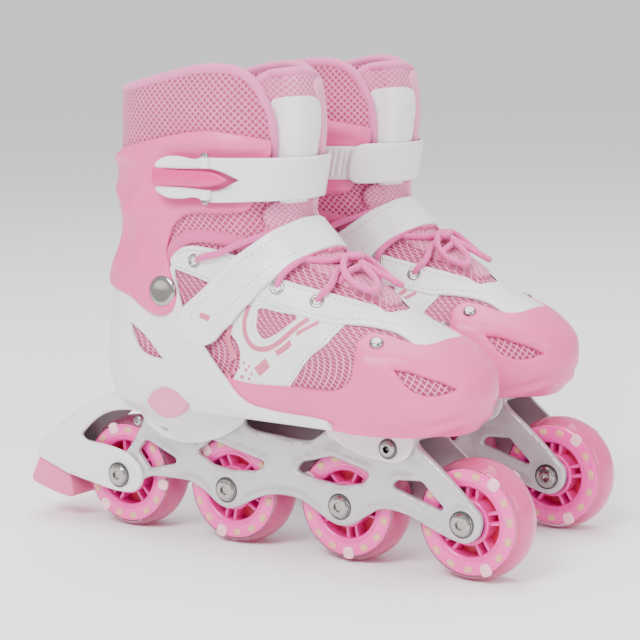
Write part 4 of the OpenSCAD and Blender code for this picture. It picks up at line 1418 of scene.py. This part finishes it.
def ladder():
    z0, z1 = LEVER_Z[0] + 2, LEVER_Z[1] - 2
    end = TOE.u_at(-36, 226, INNER)

    def relief(u, v, p, d):
        teeth = 0.5 + 0.5 * np.cos(u * 2 * math.pi / 3.4)
        return 0.9 * smoothstep(teeth, 0.2, 0.7) * smoothstep(d, 0.8, 2.2) * (u < end - 8)
    return panel(rounded([(20, z0), (end, z0), (end, z1), (20, z1)], [1, 6, 6, 1], 1.2), on=TOE,
                 base=3.5, thick=1.8, edge=0.8, grid=1.2, relief=relief)


put("guide_strap", guide_strap(), "ankle_cuff", "white_strap", node="catch_strap")
put("ladder_band", ladder(), "ankle_cuff", "white_strap", node="ladder_strap")


def lever():
    z0, z1 = LEVER_Z
    t0, t1 = TAB_Z[0] - 0.7, TAB_Z[1] + 0.7
    out = Shape()
    for z, t, k in ((z1, t1, 1), (z0, t0, -1)):
        prong = [(-30, z - k * 0.4, 1), (-36, z - k * 1.4), (-46, z - k * 0.2), (-56, z - k * 0.6),
                 (-62, z - k * 3.2), (-64.2, t + k * 1.4), (-63, t, 1), (-44, t - k * 0.1),
                 (-30, t + k * 0.6, 1)]
        out = out + panel(outline(prong, 1.0), on=Flat(-50.5, -1), thick=3.7, edge=1.6, grid=1.6, both=True,
                          relief=lambda u, v, p, d: 0.5 * smoothstep(d, 0, 3.2))
    for a, b in ((z0 + 0.2, t0 - 0.8), (t1 + 0.8, z1 - 0.2)):
        out = out + turned_barrel(LEVER_PIN, a, b, 3.1)
    return out


def turned_barrel(at_xy, z0, z1, r):
    """A short upright barrel with rounded ends."""
    q = np.linspace(0, 2 * math.pi, 28, endpoint=False)
    rows = []
    for rr, z in ((0.01, z0), (r - 0.5, z0), (r - 0.12, z0 + 0.15), (r, z0 + 0.5), (r, z1 - 0.5),
                  (r - 0.12, z1 - 0.15), (r - 0.5, z1), (0.01, z1)):
        rows.append(np.stack([at_xy[0] + rr * np.cos(q), at_xy[1] + rr * np.sin(q),
                              np.full(len(q), z)], 1))
    return outward(grid_shape(np.array(rows), wrap=True, caps=True))


put("lever_fork", lever(), "lever", "white_strap", node="buckle_lever")
pin = (turned_barrel(LEVER_PIN, LEVER_Z[0] - 2.4, LEVER_Z[0] + 0.1, 2.2)
       + turned_barrel(LEVER_PIN, LEVER_Z[1] - 0.1, LEVER_Z[1] + 2.4, 2.2))
put("lever_pin", pin, "lever", "white_strap", finish="bright_steel")

t0, t1 = TAB_Z
tab = panel(outline([(-66, t0, 1), (-46, t0 + 0.1), (-26, t0 + 0.4), (-18, t0 + 2.2),
                     (-12.6, (t0 + t1) / 2, 1), (-18, t1 - 2.2), (-26, t1 - 0.4), (-46, t1 - 0.1),
                     (-66, t1, 1)], 1.0), on=Flat(-50.9, -1), thick=3.5, edge=1.2, grid=1.6, both=True,
            relief=lambda u, v, p, d: 0.6 * smoothstep(d, 0, 4) - 0.5 * smoothstep(u, -30, -20))
for k in range(3):
    ring = [(-53 + 8.5 * k + 1.7 * math.cos(t), 225.8 + 2.3 * math.sin(t))
            for t in np.linspace(0, 2 * math.pi, 17)[:-1]]
    tab = tab + panel(np.array(ring), on=Flat(-54.3, -1), thick=1.1, edge=0.9, grid=1.0)
put("tab", tab, "tab", "hot_pink_plastic", node="release_tab")

# ---------------------------------------------------------------- rivets, screws and insole
def domed_rivet(place, normal, r, h, dish=0.0):
    profile = [(0, h - dish), (r * 0.35, h - dish * 0.9), (r * 0.6, h * 0.98 - dish * 0.2),
               (r * 0.8, h * 0.9), (r * 0.94, h * 0.6), (r, h * 0.2), (r, -0.6), (r * 0.6, -0.8), (0, -0.8)]
    return turned_solid(profile, place, axis=normal, segments=44)


pivots, rivets = Shape(), Shape()
for side in (OUTER, INNER):
    p, n = form_point(HEEL, *PIVOT, side, 5.4)
    pivots = pivots + domed_rivet(p, n, 9.4, 1.9, dish=1.0)
    ring = circle(p + n * 0.2, n, 6.0, 44)
    pivots = pivots + tube(ring, 0.8, sides=8, closed=True, flat=0.7, up=np.broadcast_to(n, ring.shape))
    p, n = form_point(TOE, *TOE_RIVET, side, 3.3)
    rivets = rivets + domed_rivet(p, n, 4.2, 2.6)
put("ankle_rivets", pivots, "ankle_cuff", "bright_steel", node="cuff_rivets")
put("toe_rivet_caps", rivets, "toe", "bright_steel", node="toe_rivets")
put("vent_screw", turned_solid([(0, 1.6), (1.8, 1.5), (2.6, 0.9), (2.8, 0), (0, 0)],
                               (-88.5, -42.5, 76.5), segments=24, socket=(1.2, 0.9)),
    "chassis", "bright_steel")


def insole():
    s = np.linspace(0, 1, 200)
    p, _ = HEEL.place(-s * girth(SKIRT_TOP), np.full(200, SKIRT_TOP), -9.0)
    q = p[(p[:, 0] < 106), :2]
    loop = resample(np.concatenate([q, (q * [1, -1])[::-1]]), 3.0, True)
    return panel(loop, on=Level(90.2), thick=3.0, edge=1.4, grid=5, both=True)


put("footbed", insole(), "chassis", "footbed_fabric", node="insole")

# ---------------------------------------------------------------- frame and wheels
FRAME_EDGE = [(-134, 39), (-122, 47), (-110, 62), (-104, 75), (-103, 82, 1), (-29, 82, 1), (-27, 76),
              (-21, 73.6), (-4, 72), (13, 71), (21, 72.2), (30, 78.6), (34, 82, 1), (93, 82, 1),
              (93, 78), (108, 65), (121, 54), (129, 46.5), (134.6, 40), (133.4, 30), (126, 24.2),
              (118, 24.6), (104, 29), (90, 34.5), (78, 37), (68, 36.5), (58, 31), (49, 25.2),
              (41, 23.4), (33, 25.2), (22, 31), (12, 35.6), (0, 36.6), (-12, 35), (-22, 31),
              (-33, 25.4), (-41, 23.4), (-49, 25.6), (-58, 32), (-68, 36.4), (-84, 37), (-100, 36),
              (-110, 31), (-118, 24.6), (-127, 24.4), (-133.5, 30)]
WINDOWS = [
    [(-104, 58.5), (-100, 58.2), (-79.5, 49.6), (-80, 46.6), (-101, 41), (-110, 51)],
    [(-65, 55.4), (-52.5, 64.4), (-10, 54.8), (-19.5, 48.8), (-38, 47.2), (-52, 49)],
    [(8.5, 52.4), (14, 58.4), (35, 64), (62.5, 57.2), (56, 50.2), (41, 47.2), (24, 48.8)],
    [(74.5, 51), (80, 55.2), (96, 56.4), (111.5, 42), (108, 41)]]
AXLES = [centre(f"right_hub_{i}")[0] * 1000 - ORIGIN["right"][0] * 1000 for i in range(1, 5)]
AXLE_Z = centre("right_hub_1")[2] * 1000


def frame_plate():
    rim = outline(FRAME_EDGE, 1.5)
    holes = [rounded(w, 2.2, 1.0) for w in WINDOWS]
    spine = outline([(-100, 66), (-60, 71), (0, 66), (60, 70), (96, 62), (120, 44)], 2, closed=False)

    def relief(u, v, p, d):
        q = np.stack([u, v], 1)
        bead = 0.95 * smoothstep(d, 0.3, 1.3) * (1 - smoothstep(d, 2.0, 3.3)) * (v < 78)
        r = np.min([np.hypot(u - x, v - AXLE_Z) for x in AXLES], axis=0)
        seat = 0.8 * (1 - smoothstep(r, 9.6, 11.2))
        rib = fold(q, spine, 0.55, 3.0)
        dish = -0.5 * smoothstep(d, 2.4, 6)
        return np.maximum(bead, seat) + (rib + dish) * smoothstep(d, 2.5, 6) * smoothstep(r, 11, 13)
    return panel(rim, holes, on=Flat(-14.5, -1), thick=2.9, edge=0.7, grid=2.2, relief=relief)


def tread_band(z, x0, x1):
    return panel(rounded([(x0, -14.6), (x1, -14.6), (x1, 14.6), (x0, 14.6)], 2, 2), on=Level(z),
                 thick=3, edge=0.8, grid=8, both=True)


put("frame_rails", frame_plate().both() + tread_band(77, -100, -32) + tread_band(77, 36, 88),
    "chassis", "silver_frame", node="frame", angle=45)


def bolt_head(x, z, r, y, facing, socket, h):
    return turned_solid([(0, h), (r * 0.62, h), (r * 0.84, h * 0.88), (r * 0.97, h * 0.5), (r, 0.25),
                         (r * 1.04, 0.2), (r * 1.04, 0.0), (r * 0.5, -0.3), (0, -0.3)],
                        (x, y * facing, z), axis=(0, facing, 0), socket=(socket, 1.6))


# A thin dark disc under a bolt head, whose rim shows as a dark ring: painted shade round the head.
def shade_ring(x, z, r, y, facing):
    return turned_solid([(0, 0.5), (r - 0.5, 0.5), (r, 0.3), (r, -0.3), (0, -0.3)], (x, y * facing, z),
                        axis=(0, facing, 0))


PLATE_FACE, YOKE_FACE = 18.3, 20.4          # the heads' seats: on the frame, and on the brake's arm


def frame_bolts(side):
    out, dark = Shape(), Shape()
    for facing in (-1, 1):
        for x in AXLES:
            y = YOKE_FACE if side == "right" and x == AXLES[0] else PLATE_FACE
            out = out + bolt_head(x, AXLE_Z, 6.6, y + 0.3, facing, 3.0, 2.2 if y > 19 else 2.4)
            dark = dark + shade_ring(x, AXLE_Z, 7.9, y, facing)
        for x, z, r in ((75.6, 73.5, 5.0), (-84, 71.5, 4.4)):
            out = out + bolt_head(x, z, r, 20.5, facing, 2.3, 2.2)
            dark = dark + shade_ring(x, z, r + 1.0, 20.6, facing)
    return out, dark


for side in SIDES:
    heads, dark = frame_bolts(side)
    put("bolt_heads", heads, "chassis", "bright_steel", node="frame_bolts", sides=(side,), angle=30)
    # The dark discs under the bolt heads are painted shade round their rims.
    put("bolt_shade_rings", dark, "chassis", "bright_steel", sides=(side,), finish="bearing_steel")

TYRE_HALF = [(30.6, 11.2), (31.6, 10.9), (32.9, 9.2), (34.0, 6.6), (34.75, 3.4), (35.0, 0)]
CORE_HALF = [(22.6, 11.6), (23.6, 12.0), (27.0, 11.95), (30.4, 11.5), (31.2, 11.0)]


def ring_profile(half_line, step=0.8):
    """A closed (radius, y) line, the same on both sides of the wheel."""
    half = spline(half_line, step, False)
    return np.concatenate([half, half[::-1][1:] * [1, -1]])


def both_faces(half):
    """A short (radius, y) profile and its mirror image on the wheel's other face."""
    return half + [(r, -y) for r, y in half[::-1]]


LAMPS, SPOKES = 15, 5


def lamp(angle, r0, r1, width, face, h):
    """A rounded rectangle let into the wheel's core, on both faces."""
    rim = rounded([(-width / 2, r0), (width / 2, r0), (width / 2, r1), (-width / 2, r1)],
                  min(width, r1 - r0) * 0.35, 0.5)
    s = panel(rim, on=Flat(-face, -1), thick=h, edge=min(h, 0.45), grid=1.2)
    return s.spun(angle).both()


def wheel_parts(i):
    place = np.array([AXLES[i - 1], 0, AXLE_Z])
    turn = 0.37 * i
    tyre = lathe(ring_profile(TYRE_HALF), place, 128)
    core = lathe(ring_profile(CORE_HALF), place, 128)
    small, large = Shape(), Shape()
    for k in range(LAMPS):
        a = turn + 2 * math.pi * k / LAMPS
        if k % 5 == 0:
            large = large + lamp(a, 25.2, 32.4, 7.0, 11.2, 1.15)
        else:
            small = small + lamp(a, 25.4, 29.2, 5.2, 11.4, 0.95)
    band = lathe(both_faces([(20.1, 10.6), (20.1, 10.9), (20.6, 11.5), (21.4, 12.0), (22.4, 12.0),
                             (22.85, 11.4)]), place, 112)
    boss = lathe(both_faces([(11.1, 12.0), (12.8, 12.0), (13.5, 11.4)]), place, 80)
    web = lathe(both_faces([(12.6, 2.0), (20.8, 2.4)]), place, 96)
    spokes = Shape()
    for k in range(SPOKES):
        a = turn + 2 * math.pi * k / SPOKES
        for s in (-1, 1):
            rim = rounded([(12.4, s * 2.9 - 1.0), (20.9, s * 3.3 - 1.2), (20.9, s * 3.3 + 1.2),
                           (12.4, s * 2.9 + 1.0)], 0.3, 0.8)
            rib = panel(rim, on=Flat(0, -1), base=1.9, thick=7.7, edge=0.7, grid=1.8)
            spokes = spokes + rib.spun(a).both()
    return (tyre, core, small.moved(place), large.moved(place), band + boss + spokes.moved(place),
            web)


for i in range(1, 5):
    tyre, core, small, large, hub, web = wheel_parts(i)
    body = f"wheel_{i}"
    put(f"tyre_band_{i}", tyre, body, "wheel_urethane", node=f"tyre_{i}")
    put(f"core_ring_{i}", core, body, "wheel_urethane", finish="core_pink")
    put(f"core_inserts_{i}", small, body, "wheel_urethane", finish="lamp_insert")
    put(f"core_lamps_{i}", large, body, "wheel_urethane", finish="lamp_clear")
    put(f"hub_spokes_{i}", hub, body, "hub_pink", node=f"hub_{i}")
    # The web gets the darker pink: painted shade deep inside the hub.
    put(f"hub_web_{i}", web, body, "hub_pink", finish="hub_deep")

RACE = [(4.2, 11.2), (6.4, 11.2), (6.9, 10.9), (9.2, 10.9), (9.6, 11.4), (10.9, 11.4), (10.9, 5.2),
        (4.2, 5.2)]
SPACER = [(4.1, 14.3), (6.3, 14.3), (6.6, 14.0), (6.6, 11.3), (4.1, 11.3)]
bearings = Shape()
for x in AXLES:
    for s in (-1, 1):
        for profile, segments in ((RACE, 64), (SPACER, 40)):
            bearings = bearings + lathe([(r, y * s) for r, y in profile], (x, 0, AXLE_Z), segments)
    bearings = bearings + lathe([(4.1, 5.0), (6.0, 5.0), (6.0, -5.0), (4.1, -5.0)], (x, 0, AXLE_Z), 40)
put("wheel_bearings", bearings, "chassis", "bearing_steel", node="bearings")

# ---------------------------------------------------------------- brake, on the right skate only
BRAKE_EDGE = [(-192, 40, 1), (-187, 49), (-176, 57.5), (-161, 69), (-146, 79), (-134, 84.4),
              (-122, 86.6), (-108, 86.6), (-106, 83), (-106, 77, 1), (-118, 76.6), (-130, 74.2),
              (-140, 69.4), (-149, 62), (-153.2, 57.2), (-150, 54.2), (-138, 53), (-124, 51),
              (-114, 47.4), (-107, 41), (-105.4, 33), (-110, 26.5), (-118, 24.4), (-128, 24.6),
              (-148, 27.8), (-166, 31, 1)]


def brake_arm():
    def relief(u, v, p, d):
        bead = 0.8 * smoothstep(d, 0.4, 1.6) * (1 - smoothstep(d, 2.4, 4.0))
        return bead - 0.3 * smoothstep(d, 3, 6)
    cheek = panel(outline(BRAKE_EDGE, 1.5), on=Flat(-17.7, -1), thick=2.2, edge=0.9, grid=2.4, relief=relief)

    def bridge(line, thick, half=17.9):
        """A web that joins the two cheeks behind the wheel, along a line of (x, z) points."""
        q = outline(line, 3.0, closed=False)
        t = unit(np.gradient(q, axis=0))
        n = np.stack([t[:, 1], -t[:, 0]], 1)
        rows = []
        for a, m in zip(q, n):
            top, low = a, a + m * thick
            ys = np.linspace(-half, half, 9)
            crown = 1.2 * (1 - (ys / half)**2)
            rows.append(np.concatenate([np.stack([top[0] - m[0] * crown, ys, top[1] - m[1] * crown], 1),
                                        np.stack([np.full(9, low[0]), ys[::-1], np.full(9, low[1])], 1)]))
        return outward(grid_shape(np.array(rows), wrap=True, caps=True))

    arch = bridge([(-189, 42), (-186, 48.7), (-175.5, 59.6), (-160.5, 71), (-147, 79), (-134, 83.4),
                   (-124, 84.8)], 3.0)
    foot = bridge([(-168, 43), (-180, 42.5), (-190, 41.5)], 2.2)
    return cheek.both() + arch + foot


def brake_pad():
    rim = outline([(-190.5, 40, 1), (-197.8, 25), (-197.6, 22.4), (-165.5, 14.9), (-163.9, 16.4),
                   (-166, 30.5, 1)], 1.2)

    def relief(u, v, p, d):
        return 0.5 * smoothstep(d, 0, 4)
    half = panel(rim, on=Flat(0, -1), base=-0.01, thick=17.2, edge=1.6, grid=2.4, relief=relief)
    return half.both()


put("brake_yoke", brake_arm(), "chassis", "brake_white", node="brake_arm", sides=("right",))
put("brake_block", brake_pad(), "chassis", "brake_pad_pink", node="brake_pad", sides=("right",))

# ---------------------------------------------------------------- camera, floor and lights
CAMERA_AT = (0.7351, -1.1033, 0.3250)
CAMERA_TURN = (0.593596, 0.146422, -0.0065013)     # azimuth, elevation and roll, in radians
CAMERA_LENS = 120.6

azimuth, elevation, roll = CAMERA_TURN
back = Vector((math.sin(azimuth) * math.cos(elevation), -math.cos(azimuth) * math.cos(elevation),
               math.sin(elevation)))
across = Vector((math.cos(azimuth), math.sin(azimuth), 0))
upward = back.cross(across)
across, upward = (across * math.cos(roll) + upward * math.sin(roll),
                  upward * math.cos(roll) - across * math.sin(roll))
camera_data = bpy.data.cameras.new("camera")
camera_data.lens, camera_data.sensor_width = CAMERA_LENS, 36
camera_data.clip_start, camera_data.clip_end = 0.05, 60
camera = bpy.data.objects.new("camera", camera_data)
camera.matrix_world = Matrix.Translation(CAMERA_AT) @ Matrix((across, upward, back)).transposed().to_4x4()
bpy.context.scene.collection.objects.link(camera)
bpy.context.scene.camera = camera

floor_mesh = bpy.data.meshes.new("floor")
floor_mesh.from_pydata([(-8, -8, 0), (8, -8, 0), (8, 8, 0), (-8, 8, 0)], [], [(0, 1, 2, 3)])
floor = bpy.data.objects.new("floor", floor_mesh)
bpy.context.scene.collection.objects.link(floor)
tree, bsdf = shader("floor", (0.97, 0.97, 0.975), 0.9)
bump(tree, bsdf, [(noise(tree, 60, 2), 0.02, 0.0005)])
floor_mesh.materials.append(materials["floor"])

world_data = bpy.data.worlds.new("studio")
bpy.context.scene.world = world_data
world_data.use_nodes = True
world_data.node_tree.nodes["Background"].inputs["Color"].default_value = (1, 1, 1, 1)
world_data.node_tree.nodes["Background"].inputs["Strength"].default_value = 0.95


def area_light(name, at_point, target, size, power):
    data = bpy.data.lights.new(name, "AREA")
    data.shape, data.size, data.size_y, data.energy = "RECTANGLE", size[0], size[1], power
    light = bpy.data.objects.new(name, data)
    light.location = at_point
    light.rotation_mode = "QUATERNION"
    light.rotation_quaternion = (Vector(target) - Vector(at_point)).to_track_quat("-Z", "Y")
    bpy.context.scene.collection.objects.link(light)


area_light("key", (0.2, -1.6, 1.5), (0, 0, 0.12), (1.0, 0.8), 52)
area_light("side", (1.9, -0.2, 0.9), (0, 0, 0.12), (0.9, 0.9), 16)
area_light("top", (-0.2, 0.3, 1.9), (0, 0, 0.1), (1.4, 1.4), 30)

bpy.context.view_layer.update()
